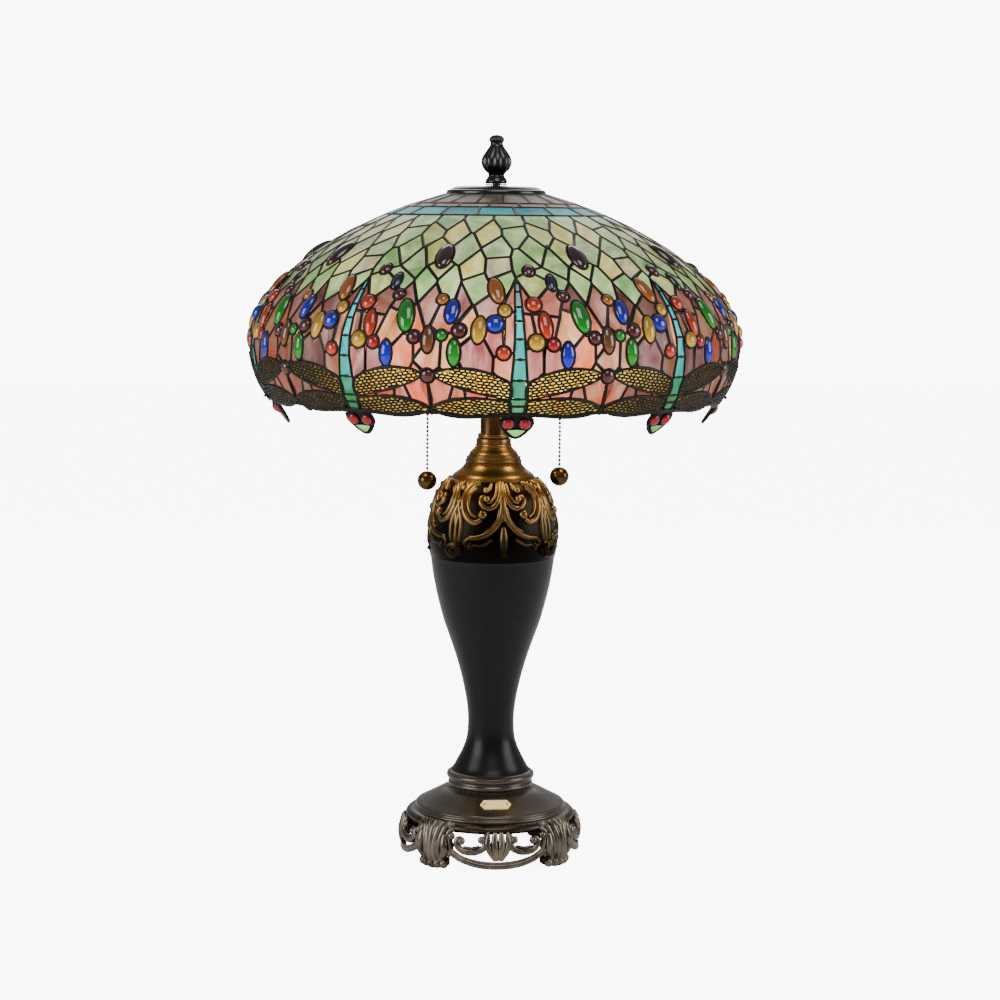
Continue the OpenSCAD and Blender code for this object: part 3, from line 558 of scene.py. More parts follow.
def jewel_glass(name, glow=0.8, dark=0.10, gloss=0.5):
    """Clear pressed glass with painted glow: dim on top, bright where its face turns down, and fading where
    it turns from the eye.
    """
    material, tree, shader = blank_material(name)
    tint = node(tree, "ShaderNodeAttribute", attribute_name="tint")
    facing = node(tree, "ShaderNodeLayerWeight", {"Blend": 0.4})
    lit = node(tree, "ShaderNodeMapRange", {"Value": facing.outputs["Facing"], "From Min": 0.0,
               "From Max": 0.75, "To Min": 1.0, "To Max": 0.10})
    surface = node(tree, "ShaderNodeNewGeometry")
    parts = node(tree, "ShaderNodeSeparateXYZ", {0: surface.outputs["Normal"]})
    # Painted light: emission rises as the face turns downward, standing in for light gathered through the
    # jewel; dark sets the dim painted top
    glow_below = node(tree, "ShaderNodeMapRange", {"Value": parts.outputs["Z"], "From Min": 0.45,
                  "From Max": -0.35, "To Min": dark, "To Max": 1.2})
    strength = node(tree, "ShaderNodeMath", {0: lit.outputs["Result"], 1: glow_below.outputs["Result"]},
                    operation="MULTIPLY")
    feed(tree, shader, {
        "Emission Color": mix(tree, 1.0, tint.outputs["Color"], strength.outputs[0], "MULTIPLY"),
        "Base Color": mix(tree, 1.0, tint.outputs["Color"], (0.25, 0.25, 0.25), "MULTIPLY"),
        "Emission Strength": glow, "Roughness": 0.1, "Specular IOR Level": gloss,
        "Coat Weight": gloss, "Coat Roughness": 0.02})
    return material


def plain(name, colour, rough=0.5, metallic=0.0, grain=0.1, scale=60.0, glow=0.0):
    """Simple finish with slight mottling, for pieces that hardly show."""
    material, tree, shader = blank_material(name)
    mottle = use_group(tree, GROUPS["cloud"], {"Scale": scale, "Contrast": 0.5})
    darker = tuple(0.7 * c for c in colour)
    bump = node(tree, "ShaderNodeBump", {"Height": mottle.outputs["Grain"], "Strength": grain,
                "Distance": 0.0004})
    feed(tree, shader, {
        "Base Color": mix(tree, mottle.outputs["Mask"], darker, colour),
        "Normal": bump.outputs["Normal"], "Roughness": rough, "Metallic": metallic})
    if glow:
        feed(tree, shader, {"Emission Color": (*colour, 1), "Emission Strength": glow})
    return material


def pale_floor(colour):
    """Matt floor that reads as bright as the backdrop without lighting the lamp."""
    material, tree, shader = blank_material("pale_floor")
    mottle = use_group(tree, GROUPS["cloud"], {"Scale": 3.0, "Contrast": 0.2})
    nearly = tuple(0.99 * c for c in colour)
    seen = node(tree, "ShaderNodeLightPath")
    lift = node(tree, "ShaderNodeMath", {0: seen.outputs["Is Camera Ray"], 1: 8.6}, operation="MULTIPLY")
    feed(tree, shader, {
        "Base Color": mix(tree, mottle.outputs["Mask"], nearly, colour),
        "Emission Color": (1, 1, 1, 1), "Emission Strength": lift.outputs[0], "Roughness": 0.8,
        "Specular IOR Level": 0.1})
    return material


GROUPS = {}
FINISH = {}


def build_finishes():
    """Makes every node group and material once."""
    shades = colours()
    GROUPS["cloud"] = cloud_group()
    GROUPS["streak"] = streak_group()
    FINISH["urn"] = metal("urn_bronze", shades.urn, (0.030, 0.020, 0.014), rough=(0.26, 0.34),
                          scale=9.0, grain=0.02, metallic=0.0, base_wear=0.05, gloss=0.2)
    FINISH["plinth"] = metal("plinth_bronze", shades.urn, (0.21, 0.165, 0.130), rough=(0.22, 0.32),
                             scale=12.0, contrast=0.4, grain=0.03, metallic=0.8, coat=0.2,
                             base_wear=0.5)
    FINISH["scrolls"] = metal("scroll_bronze", (0.005, 0.004, 0.0035), shades.bronze,
                              rough=(0.20, 0.36), scale=45.0, wear=1.6)
    FINISH["feet"] = metal("foot_pewter", (0.008, 0.006, 0.005), shades.pewter, rough=(0.20, 0.38),
                           scale=50.0, contrast=0.8, wear=1.5)
    FINISH["neck"] = metal("neck_bronze", (0.035, 0.020, 0.008), (0.38, 0.235, 0.090),
                           rough=(0.22, 0.32), scale=16.0, contrast=0.35, grain=0.03, base_wear=0.45)
    # Painted shade: the stem is the neck's bronze made darker, because it stands in shade
    FINISH["stem"] = metal("stem_bronze_painted_shade", (0.016, 0.010, 0.006), (0.10, 0.060, 0.028),
                           rough=(0.24, 0.34), scale=16.0, contrast=0.35, grain=0.03, base_wear=0.4)
    FINISH["black"] = metal("gun_black", (0.010, 0.011, 0.012), (0.09, 0.095, 0.10), rough=(0.2, 0.34),
                            scale=40.0, wear=1.4, base_wear=0.25, coat=0.3)
    FINISH["chain"] = metal("chain_bronze", (0.09, 0.055, 0.022), (0.42, 0.27, 0.10), rough=(0.2, 0.35),
                            scale=90.0, base_wear=0.5)
    FINISH["ball"] = metal("ball_bronze", (0.022, 0.014, 0.007), (0.30, 0.18, 0.06), rough=(0.16, 0.3),
                           scale=70.0, contrast=0.8, base_wear=0.4)
    FINISH["lead"] = metal("solder", shades.lead, (0.05, 0.045, 0.04), rough=(0.30, 0.5), scale=80.0,
                           contrast=0.6, wear=0.5, base_wear=0.05, metallic=0.4, gloss=0.2)
    FINISH["filigree"] = metal("filigree", (0.006, 0.005, 0.004), (0.03, 0.025, 0.018),
                               rough=(0.35, 0.55), scale=90.0, base_wear=0.15, metallic=0.4,
                               gloss=0.25)
    # Painted glow: the name plate gives off light in its own colour to look brighter, though it is no lamp
    FINISH["plate"] = plain("plate_brass_painted_glow", shades.brass, 0.4, 0.1, 0.03, 30.0, glow=0.3)
    FINISH["brass"] = plain("plain_brass", (0.55, 0.38, 0.15), 0.32, 1.0)
    FINISH["steel"] = plain("zinc_steel", (0.5, 0.5, 0.48), 0.38, 1.0)
    FINISH["iron"] = plain("raw_iron", (0.08, 0.08, 0.08), 0.6, 0.9)
    FINISH["felt"] = plain("green_felt", (0.02, 0.045, 0.03), 0.95, 0.0, 0.6, 300.0)
    FINISH["fibre"] = plain("fibre_board", (0.5, 0.4, 0.26), 0.8)
    FINISH["moulded"] = plain("black_moulding", (0.015, 0.014, 0.013), 0.45)
    FINISH["bulb"] = plain("lit_bulb", (1.0, 0.86, 0.62), 0.4, 0.0, 0.0, 20.0, glow=3.0)
    # The glass finishes paint the bulbs' light through the glass as emitted glow, which fades where the glass
    # turns from the eye
    FINISH["crown"] = art_glass("crown_glass", glow=0.34, near=0.5, far=1.0, least=0.6, haze=0.15,
                                gloss=0.05, dim=0.3)
    FINISH["leaf"] = art_glass("leaf_glass", glow=1.5, near=0.40, far=0.85, least=0.12, haze=0.4,
                               pale=(0.85, 0.78, 0.40))
    FINISH["blush"] = art_glass("blush_glass", glow=2.0, near=0.04, far=0.30, least=0.04, haze=0.6,
                                dim=0.3, pale=(0.95, 0.60, 0.45))
    FINISH["tail"] = art_glass("tail_glass", glow=1.0, near=0.1, far=0.7, least=0.35, haze=0.25,
                               pale=(0.35, 0.90, 0.85))
    FINISH["wing"] = art_glass("wing_glass", glow=2.8, near=0.05, far=0.38, least=0.04, haze=0.3,
                               pale=(1.0, 0.90, 0.40))
    FINISH["jewel"] = jewel_glass("jewel_glass")
    FINISH["eye"] = jewel_glass("eye_glass", glow=0.9, dark=0.15, gloss=0.3)
    FINISH["chin"] = art_glass("chin_glass", glow=1.3, near=0.2, far=0.55, least=0.12, haze=0.3,
                               pale=(0.70, 0.90, 0.50))
    FINISH["floor"] = pale_floor(shades.floor)


# ---------------------------------------------------------------- the leaded pattern of one sector
# Places are (u, s): u degrees to the right of a dragonfly, s millimetres down the glass.

# Crown rows as (kind, top, foot, share of a tile that the row is turned)
CROWN_ROWS = [("green", 0.4, 33, 0.0), ("pink", 33, 44, 0.5), ("teal", 44, 66, 0.25)]
CROWN_GLASS = {
    "green": ("grey_green_glass", [(0.15, 0.18, 0.11), (0.20, 0.18, 0.13), (0.12, 0.17, 0.10)]),
    "pink": ("pink_glass", [(0.70, 0.30, 0.26), (0.74, 0.38, 0.30), (0.62, 0.32, 0.26)]),
    "teal": ("teal_glass", [(0.0, 0.50, 0.62), (0.0, 0.60, 0.70), (0.0, 0.40, 0.52)])}

# Rows of glass pieces as (distance down the glass, pieces in a sector, share of a piece turned)
LEAF_ROWS = [(80, 3, 0.5), (109, 4, 0.1), (138, 4, 0.6), (165, 5, 0.0), (189, 6, 0.5)]
BLUSH_ROWS = [(212, 6, 0.0), (237, 7, 0.5), (266, 7, 0.0)]
WEDGE_SEEDS = [(-17.2, 300), (-9, 304.5), (9, 304.5), (17.2, 300), (-5, 309), (5, 309),
               (-14, 318), (14, 318)]
FIELD_TOP = 66
FIELD_LOW = 322
RIM_WIRE = 324.5
RIM = 327

RUBY, RED, FLAME = (0.10, 0.002, 0.004), (0.55, 0.002, 0.004), (0.85, 0.045, 0.002)
BURGUNDY, NAVY, COBALT = (0.045, 0.002, 0.008), (0.002, 0.003, 0.06), (0.002, 0.006, 0.62)
EMERALD, AMBER, YELLOW = (0.002, 0.36, 0.004), (0.62, 0.16, 0.002), (0.95, 0.50, 0.004)
BROWN = (0.22, 0.065, 0.004)

# Jewels as (u, s, width, length, lean, colour)
JEWELS = [
    (19.5, 148, 16, 38, 0, BURGUNDY), (3.5, 170, 11, 15, 0, RUBY), (8.8, 186, 9, 22, 0, NAVY),
    (11, 203, 11, 12, 0, RUBY), (3.5, 213, 14.5, 15.5, 0, FLAME), (14.2, 226, 16, 35, -9, EMERALD),
    (5.8, 235, 12, 28, -6, FLAME), (3.6, 252, 15.5, 15.5, 0, YELLOW), (7.3, 254, 12, 12, 0, RED),
    (10.5, 264, 12, 25, 0, COBALT), (16.8, 248, 12, 12, 0, RUBY), (-5.2, 196, 14, 32, -12, AMBER),
    (-3.2, 220, 12, 13, 0, YELLOW), (-5.4, 234, 16.5, 17, 0, COBALT), (-8.9, 240, 13.5, 27, 6, YELLOW),
    (-3.5, 262, 12.5, 12.5, 0, FLAME), (-13.2, 241, 13.5, 13.5, 0, RUBY),
    (-15.2, 221, 13, 26, 5, COBALT), (-17.8, 208, 11, 12, 0, AMBER), (-17, 246, 10, 10, 0, EMERALD),
    (-14.2, 262, 12, 26, 0, EMERALD), (-20, 250, 12, 26, 0, BROWN), (20, 284.5, 13, 13, 0, RUBY)]

UPPER_WING = [(2.0, 291), (5, 283.5), (9, 278.5), (13, 277), (16.5, 278.5), (18.4, 282), (18.2, 286),
              (16, 291), (13, 296), (9, 301), (5.5, 304.5), (2.0, 307.5)]
LOWER_WING = [(2.0, 310), (6, 307.5), (10, 306.5), (14, 308.5), (17, 312), (19.3, 317), (19.4, 320.5),
              (17, 326), (13, 328.5), (8, 327.5), (4, 326.5), (2.0, 326)]

# Cross lines of the body as (distance down the glass, width)
BODY_LINES = [(187, 2.6), (198, 4.4), (216, 6.0), (231, 7.4), (249, 9.2), (268, 11.4), (288, 14.4),
              (307, 16.5), (315, 19), (325, 12)]
BODY_TINTS = [(0.0, 0.42, 0.50), (0.0, 0.52, 0.56), (0.02, 0.66, 0.66), (0.04, 0.70, 0.66),
              (0.0, 0.50, 0.48), (0.0, 0.52, 0.42), (0.0, 0.36, 0.15), (0.05, 0.32, 0.04),
              (0.05, 0.34, 0.14)]


def sheet_frame():
    """Depth of the flat drawing at each s, so that a piece is as wide as it is long on paper."""
    stretch = 2.0
    step = np.degrees(MM * np.diff(RUN) / ((LINE[1:, 0] + LINE[:-1, 0]) / 2)) / stretch
    return np.concatenate([[0], np.cumsum(step)])


DEPTH = sheet_frame()


def flat(u, s):
    """Point of the flat drawing for a place."""
    return Vector((u, -float(np.interp(s, RUN, DEPTH))))


def unflat(p):
    """Place of a point of the flat drawing."""
    return p[0], float(np.interp(-p[1], DEPTH, RUN))


def ring_of_seeds(rows, rng):
    """Middles of the glass pieces of some rows, each moved a little."""
    seeds = []
    for s, count, shift in rows:
        for i in range(count):
            wander = SECTOR / count
            u = (i + shift) * wander - SECTOR / 2 + rng.uniform(-0.13, 0.13) * wander
            seeds.append((u, s + rng.uniform(-3.0, 3.0)))
    return seeds


def clipped(polygon, point, normal):
    """Part of a convex polygon on the far side of a line from where its normal points."""
    result = []
    for a, b in zip(polygon, polygon[1:] + polygon[:1]):
        da, db = (a - point).dot(normal), (b - point).dot(normal)
        if da <= 0:
            result.append(a)
        if (da < 0 < db) or (db < 0 < da):
            result.append(a + (b - a) * (da / (da - db)))
    return result


def nearest_cells(seeds, frame_polygon):
    """Voronoi cell of each seed inside a convex polygon."""
    cells = []
    for i, seed in enumerate(seeds):
        cell = list(frame_polygon)
        others = sorted((q for j, q in enumerate(seeds) if j != i), key=lambda q: (q - seed).length)
        for other in others[:28]:
            cell = clipped(cell, (seed + other) / 2, other - seed)
            if len(cell) < 3:
                break
        cells.append(cell)
    return cells


def jewel_ring(jewel, count=20, grow=0.0):
    """Outline of a jewel as places (u, s)."""
    u, s, width, length, lean, _ = jewel
    turn = math.radians(lean)
    ring = []
    for i in range(count):
        a = TURN * i / count
        x, y = (width / 2 + grow) * math.cos(a), (length / 2 + grow) * math.sin(a)
        across = x * math.cos(turn) + y * -math.sin(turn)
        down = x * math.sin(turn) + y * math.cos(turn)
        ring.append((u + degrees_for(across, s), s + down))
    return ring


def mirrored(shape):
    """Shape on the other side of the dragonfly."""
    return [(-u, s) for u, s in reversed(shape)]


def body_ring():
    """Outline of a whole dragonfly body as places (u, s)."""
    right = [(degrees_for(w / 2, s), s) for s, w in BODY_LINES]
    return right + mirrored(right)


def inside(point, polygon):
    """True where a flat point is within a flat polygon."""
    x, y = point
    odd = False
    for a, b in zip(polygon, polygon[1:] + polygon[:1]):
        if (a[1] > y) != (b[1] > y) and x < (b[0] - a[0]) * (y - a[1]) / (b[1] - a[1]) + a[0]:
            odd = not odd
    return odd


def area(polygon):
    """Area of a flat polygon, below zero where it runs clockwise."""
    return 0.5 * sum(a[0] * b[1] - b[0] * a[1] for a, b in zip(polygon, polygon[1:] + polygon[:1]))


def shifted(shape, sectors):
    """Shape some sectors further round the lamp."""
    return [(u + sectors * SECTOR, s) for u, s in shape]


def faces_between(points, edges):
    """Every face of a flat net, as lists of point numbers."""
    near = {}
    for a, b in edges:
        near.setdefault(a, set()).add(b)
        near.setdefault(b, set()).add(a)
    loose = [v for v in near if len(near[v]) == 1]
    while loose:
        v = loose.pop()
        for w in near.pop(v, ()):
            near[w].discard(v)
            if len(near[w]) == 1:
                loose.append(w)
    order = {}
    for v, others in near.items():
        round_v = sorted(others, key=lambda w: math.atan2(points[w][1] - points[v][1],
                                                          points[w][0] - points[v][0]))
        order[v] = {w: round_v[i - 1] for i, w in enumerate(round_v)}
    faces = []
    used = set()
    for a in order:
        for b in order[a]:
            if (a, b) in used:
                continue
            face = []
            here, there = a, b
            while (here, there) not in used:
                used.add((here, there))
                face.append(here)
                here, there = there, order[there][here]
            if len(face) > 2 and area([points[v] for v in face]) > 1e-5:
                faces.append(face)
    return faces


def inner_point(polygon):
    """A point well inside a flat polygon."""
    best, middle = 0, polygon[0]
    flat_points = [Vector((p[0], p[1], 0)) for p in polygon]
    for a, b, c in tessellate_polygon([flat_points]):
        p, q, r = polygon[a], polygon[b], polygon[c]
        size = abs((q[0] - p[0]) * (r[1] - p[1]) - (r[0] - p[0]) * (q[1] - p[1]))
        if size > best:
            best = size
            middle = ((p[0] + q[0] + r[0]) / 3, (p[1] + q[1] + r[1]) / 3)
    return middle


def snap_to_jewels(cells, jewels):
    """Moves the corner nearest each jewel to its middle, so that lead lines meet under jewels."""
    corners = {}
    for cell in cells:
        for i, p in enumerate(cell):
            corners.setdefault((round(p.x, 4), round(p.y, 4)), []).append((cell, i))
    taken = set()
    for target in jewels:
        key = min((k for k in corners if k not in taken),
                  key=lambda k: (Vector(k) - target).length)
        taken.add(key)
        for cell, i in corners[key]:
            cell[i] = target.copy()


def draw_pattern(rng):
    """Glass faces of the field as (list of places, tint), for one sector."""
    seeds = ring_of_seeds(LEAF_ROWS + BLUSH_ROWS, rng) + WEDGE_SEEDS
    tints = [pick_tint(u, s, rng) for u, s in seeds]
    wide = [flat(u + k * SECTOR, s) for k in (-2, -1, 0, 1, 2) for u, s in seeds]
    edge = 2.4 * SECTOR
    page = [flat(-edge, FIELD_LOW), flat(edge, FIELD_LOW), flat(edge, FIELD_TOP), flat(-edge, FIELD_TOP)]
    cells = nearest_cells(wide, page)
    jewels = [shifted(jewel_ring(j), k) for k in (-1, 0, 1) for j in JEWELS]
    middles = [flat(j[0] + k * SECTOR, j[1]) for k in (-2, -1, 0, 1, 2) for j in JEWELS]
    snap_to_jewels(cells, middles)
    shapes = [shifted(shape, k) for k in (-1, 0, 1)
              for shape in (UPPER_WING, LOWER_WING, mirrored(UPPER_WING), mirrored(LOWER_WING),
                            body_ring())] + jewels
    solid = [[tuple(flat(u, s)) for u, s in shape] for shape in shapes]
    points, edges = [], []
    for ring in [[tuple(p) for p in cell] for cell in cells if len(cell) > 2] + solid:
        start = len(points)
        points += ring
        edges += [(start + i, start + (i + 1) % len(ring)) for i in range(len(ring))]
    net = delaunay_2d_cdt([Vector(p) for p in points], edges, [], 0, 2e-3, True)
    places = [tuple(p) for p in net[0]]
    lines = [e for e, source in zip(net[1], net[4]) if source]
    found = []
    for face in faces_between(places, lines):
        polygon = [places[v] for v in face]
        middle = inner_point(polygon)
        if not -SECTOR / 2 <= middle[0] < SECTOR / 2:
            continue
        if any(inside(middle, ring) for ring in solid):
            continue
        if unflat(middle)[1] > FIELD_LOW - 0.5:
            continue
        closest = min(range(len(wide)), key=lambda i: (wide[i] - Vector(middle)).length)
        found.append(([unflat(p) for p in polygon], tints[closest % len(seeds)]))
    return found


LEAF_TINTS = [(0.34, 0.42, 0.10), (0.42, 0.46, 0.14), (0.22, 0.40, 0.14), (0.50, 0.46, 0.13),
              (0.30, 0.42, 0.22), (0.58, 0.54, 0.18), (0.40, 0.38, 0.22), (0.28, 0.44, 0.16)]
BLUSH_TINTS = [(0.62, 0.15, 0.09), (0.72, 0.18, 0.10), (0.36, 0.085, 0.10), (0.80, 0.17, 0.03),
               (0.80, 0.36, 0.10), (0.62, 0.24, 0.19), (0.46, 0.13, 0.13), (0.74, 0.26, 0.10)]
WEDGE_TINTS = [(0.85, 0.10, 0.03), (0.92, 0.17, 0.04), (0.70, 0.14, 0.06)]


def pick_tint(u, s, rng):
    """Colour of a piece of glass from where it lies."""
    border = 199 + 6 * math.sin(math.radians(u * 27)) + rng.uniform(-3, 3)
    if s > 286:
        choice = rng.choice(WEDGE_TINTS)
    elif s > border:
        choice = rng.choice(BLUSH_TINTS)
    else:
        choice = rng.choice(LEAF_TINTS)
    light = rng.uniform(0.85, 1.15)
    return tuple(min(1.0, c * light) for c in choice)


# ---------------------------------------------------------------- glass and lead from the pattern


def offset_ring(ring, width):
    """Ring of flat millimetre points moved inwards, and the first edge that turned over."""
    count = len(ring)
    result = []
    for i in range(count):
        a, b, c = ring[i - 1], ring[i], ring[(i + 1) % count]
        d1 = (b - a).normalized()
        d2 = (c - b).normalized()
        n1 = Vector((-d1.y, d1.x))
        middle = n1 + Vector((-d2.y, d2.x))
        if middle.length < 0.35:
            middle = n1
        middle.normalize()
        result.append(b + middle * (width / max(0.42, middle.dot(n1))))
    for i in range(count):
        j = (i + 1) % count
        if (ring[j] - ring[i]).dot(result[j] - result[i]) <= 0:
            return result, i
    return result, None


def inset_pair(ring, width):
    """Ring and its inset, with corners that would cross merged; None where nothing is left."""
    ring = list(ring)
    while len(ring) > 2:
        inner, crossed = offset_ring(ring, width)
        if crossed is None:
            return (ring, inner) if area(inner) > 0.12 * area(ring) else None
        after = (crossed + 1) % len(ring)
        ring[crossed] = (ring[crossed] + ring[after]) / 2
        del ring[after]
    return None


def without_short_edges(ring, least=0.8):
    """Drops points that lie closer together than a solder line can follow."""
    kept = []
    for p in ring:
        if not kept or (p - kept[-1]).length > least:
            kept.append(p)
    while len(kept) > 3 and (kept[0] - kept[-1]).length < least:
        kept.pop()
    return kept


class Collector:
    """Gathers points, faces and tints of many like pieces into one mesh."""

    def __init__(self):
        """Starts empty."""
        self.points, self.faces, self.tints = [], [], []

    def add(self, points, faces, tint=(1, 1, 1)):
        """Adds a piece of mesh in one tint."""
        start = len(self.points)
        self.points += points
        self.faces += [[start + i for i in face] for face in faces]
        self.tints += [tint] * len(faces)

    def take(self, obj):
        """Adds an object's mesh and removes the object."""
        mesh = obj.data
        self.add([v.co.copy() for v in mesh.vertices], [list(p.vertices) for p in mesh.polygons])
        bpy.data.objects.remove(obj)

    def make(self, name, tinted=True):
        """New object from what was gathered."""
        obj = mesh_from(name, self.points, self.faces)
        if tinted:
            paint_tint(obj, self.tints)
        return obj


def band(count):
    """Faces between two rings of points that follow one another."""
    return [(i, (i + 1) % count, count + (i + 1) % count, count + i) for i in range(count)]


def plate(rim, thick, crown):
    """Closed plate below a ring of (u, s, out): a slightly raised face, edges and a back."""
    count = len(rim)
    top = [on_shade(u, s, out) for u, s, out in rim]
    back = [on_shade(u, s, out - thick) for u, s, out in rim]
    middle = sum(top, Vector()) / count
    away = Vector((middle.x, middle.y, 0)).normalized()
    points = top + back + [middle + away * crown]
    faces = [(i, (i + 1) % count, 2 * count) for i in range(count)]
    faces += [(i, count + i, count + (i + 1) % count, (i + 1) % count) for i in range(count)]
    faces.append(tuple(reversed(range(count, 2 * count))))
    return points, faces


def to_paper(places):
    """Places as flat millimetres about their middle, and the way back."""
    u0 = sum(u for u, _ in places) / len(places)
    s0 = sum(s for _, s in places) / len(places)

    def there(u, s):
        """Flat point of a place."""
        return Vector((math.radians(u - u0) * radius_at(s) / MM, s0 - s))

    def back(p):
        """Place of a flat point."""
        s = s0 - p.y
        return u0 + math.degrees(p.x * MM / radius_at(s)), s

    return there, back


def lead_strips(outer, inner, height):
    """Strip of solder between a ring of places and the ring inside it, raised at the outer ring."""
    points = [on_shade(u, s, height) for u, s in outer] + [on_shade(u, s, 0.25 * MM) for u, s in inner]
    return points, band(len(outer))


def add_piece(places, tint, glass, lead, rng, half):
    """One piece of glass with half of the lead line round it."""
    there, back = to_paper(places)
    ring = without_short_edges([there(u, s) for u, s in places])
    if len(ring) < 3:
        return
    pair = inset_pair(ring, half) or inset_pair(ring, 0.6 * half)
    if pair is None:
        middle = Vector(inner_point(ring))
        inner = [p.lerp(middle, 0.8) for p in ring]
        points, faces = lead_strips([back(p) for p in ring], [back(p) for p in inner], 0.8 * MM)
        faces.append(tuple(range(len(ring), 2 * len(ring))))
        lead.add(points, faces)
        return
    ring, inner = pair
    inner_places = [back(p) for p in inner]
    lead.add(*lead_strips([back(p) for p in ring], inner_places, sizes().lead_height))
    tilt = Vector((rng.uniform(-1, 1), rng.uniform(-1, 1))) * 0.007
    rim = [(u, s, p.dot(tilt) * MM) for (u, s), p in zip(inner_places, inner)]
    glass.add(*plate(rim, sizes().glass_thickness, 0.25 * MM), tint)


def copy_round(collector):
    """Repeats a collected sector round the lamp."""
    whole = Collector()
    for k in range(FLIES):
        turn = TURN * k / FLIES
        c, s = math.cos(turn), math.sin(turn)
        points = [Vector((p.x * c - p.y * s, p.x * s + p.y * c, p.z)) for p in collector.points]
        start = len(whole.points)
        whole.points += points
        whole.faces += [[start + i for i in face] for face in collector.faces]
        whole.tints += collector.tints
    return whole


def add_glass(collector, name, slot, finish, *nodes, angle=None):
    """Repeats gathered glass round the lamp as one finished piece."""
    obj = copy_round(collector).make(name)
    tidy_mesh(obj)
    if angle:
        smooth(obj, angle)
    place(obj, "shade", slot, FINISH[finish], *nodes)


def add_lead(collector, name, finish="lead"):
    """Repeats gathered lead round the lamp as one finished piece."""
    obj = copy_round(collector).make(name, tinted=False)
    tidy_mesh(obj)
    smooth(obj, 80)
    paint_wear(obj)
    place(obj, "shade", "lead", FINISH[finish])


def crown_tiles(kind, top, foot, shift, lead, rng):
    """Tiles of one crown row in one sector."""
    tiles = Collector()
    per_sector = 2
    cuts = 4
    lean = 2.5 if kind == "green" else 0
    step = SECTOR / per_sector
    for i in range(per_sector):
        a = (i + shift) * step - SECTOR / 2
        b = a + step
        upper = [(a + lean + (b - a) * j / cuts, top) for j in range(cuts + 1)]
        lower = [(b - (b - a) * j / cuts, foot) for j in range(cuts + 1)]
        places = list(reversed(upper + lower))
        tint = rng.choice(CROWN_GLASS[kind][1])
        add_piece(places, tint, tiles, lead, rng, sizes().lead_width / MM / 2)
    return tiles


def build_shade_glass():
    """Leaded sheet glass: crown rows, leaf and blush fields and their solder lines."""
    rng = random.Random(11)
    lead = Collector()
    for kind, top, foot, shift in CROWN_ROWS:
        row = crown_tiles(kind, top, foot, shift, lead, rng)
        add_glass(row, "crown_tiles_" + kind, CROWN_GLASS[kind][0], "crown", "crown_row_" + kind)
    leaves, blush = Collector(), Collector()
    half = sizes().lead_width / MM / 2
    for places, tint in draw_pattern(rng):
        green = tint[1] > 0.75 * tint[0]
        add_piece(places, tint, leaves if green else blush, lead, rng, half)
    add_glass(leaves, "leaf_pieces", "olive_glass", "leaf", "leaf_glass", angle=35)
    add_glass(blush, "blush_pieces", "blush_glass", "blush", "blush_glass", angle=35)
    net = copy_round(lead).make("solder_net", tinted=False)
    tidy_mesh(net, gap=3e-4)
    apply_modifier(net, "SOLIDIFY", thickness=sizes().glass_thickness + 1.2 * MM, offset=-1.0)
    smooth(net, 60)
    paint_wear(net)
    place(net, "shade", "lead", FINISH["lead"], "lead_rings", "lead_ribs")


# ---------------------------------------------------------------- jewels


def dome(ring, foot, rise, tint, collector):
    """Domed cabochon over a ring of places."""
    rings = 4
    deep = 3.5 * MM
    count = len(ring)
    u0 = sum(u for u, _ in ring) / count
    s0 = sum(s for _, s in ring) / count
    points, faces = [], []
    for k in range(rings):
        lean = 0.5 * math.pi * k / rings
        share, up = math.cos(lean), math.sin(lean)
        points += [on_shade(u0 + (u - u0) * share, s0 + (s - s0) * share, foot + rise * up)
                   for u, s in ring]
    points.append(on_shade(u0, s0, foot + rise))
    back = [on_shade(u, s, foot - deep) for u, s in ring]
    points += back
    for k in range(rings - 1):
        faces += [(k * count + i, k * count + (i + 1) % count, (k + 1) * count + (i + 1) % count,
                   (k + 1) * count + i) for i in range(count)]
    top = rings * count
    faces += [((rings - 1) * count + i, (rings - 1) * count + (i + 1) % count, top) for i in range(count)]
    faces += [(top + 1 + i, top + 1 + (i + 1) % count, (i + 1) % count, i) for i in range(count)]
    faces.append(tuple(range(top + count, top, -1)))
    collector.add(points, faces, tint)


def bezel(ring, thick, collector, out=0.2 * MM):
    """Rounded lead collar along a ring of places."""
    sides = 6
    count = len(ring)
    u0 = sum(u for u, _ in ring) / count
    s0 = sum(s for _, s in ring) / count
    centre = on_shade(u0, s0, 0)
    points, faces = [], []
    for u, s in ring:
        p = on_shade(u, s, out)
        nr, nz = normal_at(s)
        angle = math.radians(u - 90)
        up = Vector((nr * math.cos(angle), nr * math.sin(angle), nz))
        side = p - centre
        side = (side - up * side.dot(up)).normalized()
        for k in range(sides):
            a = TURN * k / sides
            points.append(p + side * math.cos(a) * thick + up * math.sin(a) * thick)
    for i in range(count):
        j = (i + 1) % count
        faces += [(i * sides + k, j * sides + k, j * sides + (k + 1) % sides, i * sides + (k + 1) % sides)
                  for k in range(sides)]
    collector.add(points, faces)


def build_jewels():
    """Pressed jewels and the lead collars that hold them."""
    stones, collars = Collector(), Collector()
    for jewel in JEWELS:
        width = jewel[2] * MM
        dome(jewel_ring(jewel, 16), 0.4 * MM, width / 2 * sizes().jewel_dome, jewel[5], stones)
        bezel(jewel_ring(jewel, 16, grow=0.7), 1.25 * MM, collars)
    add_glass(stones, "pressed_jewels", "red_glass", "jewel", "jewels", angle=60)
    add_lead(collars, "jewel_collars")


# ---------------------------------------------------------------- dragonflies


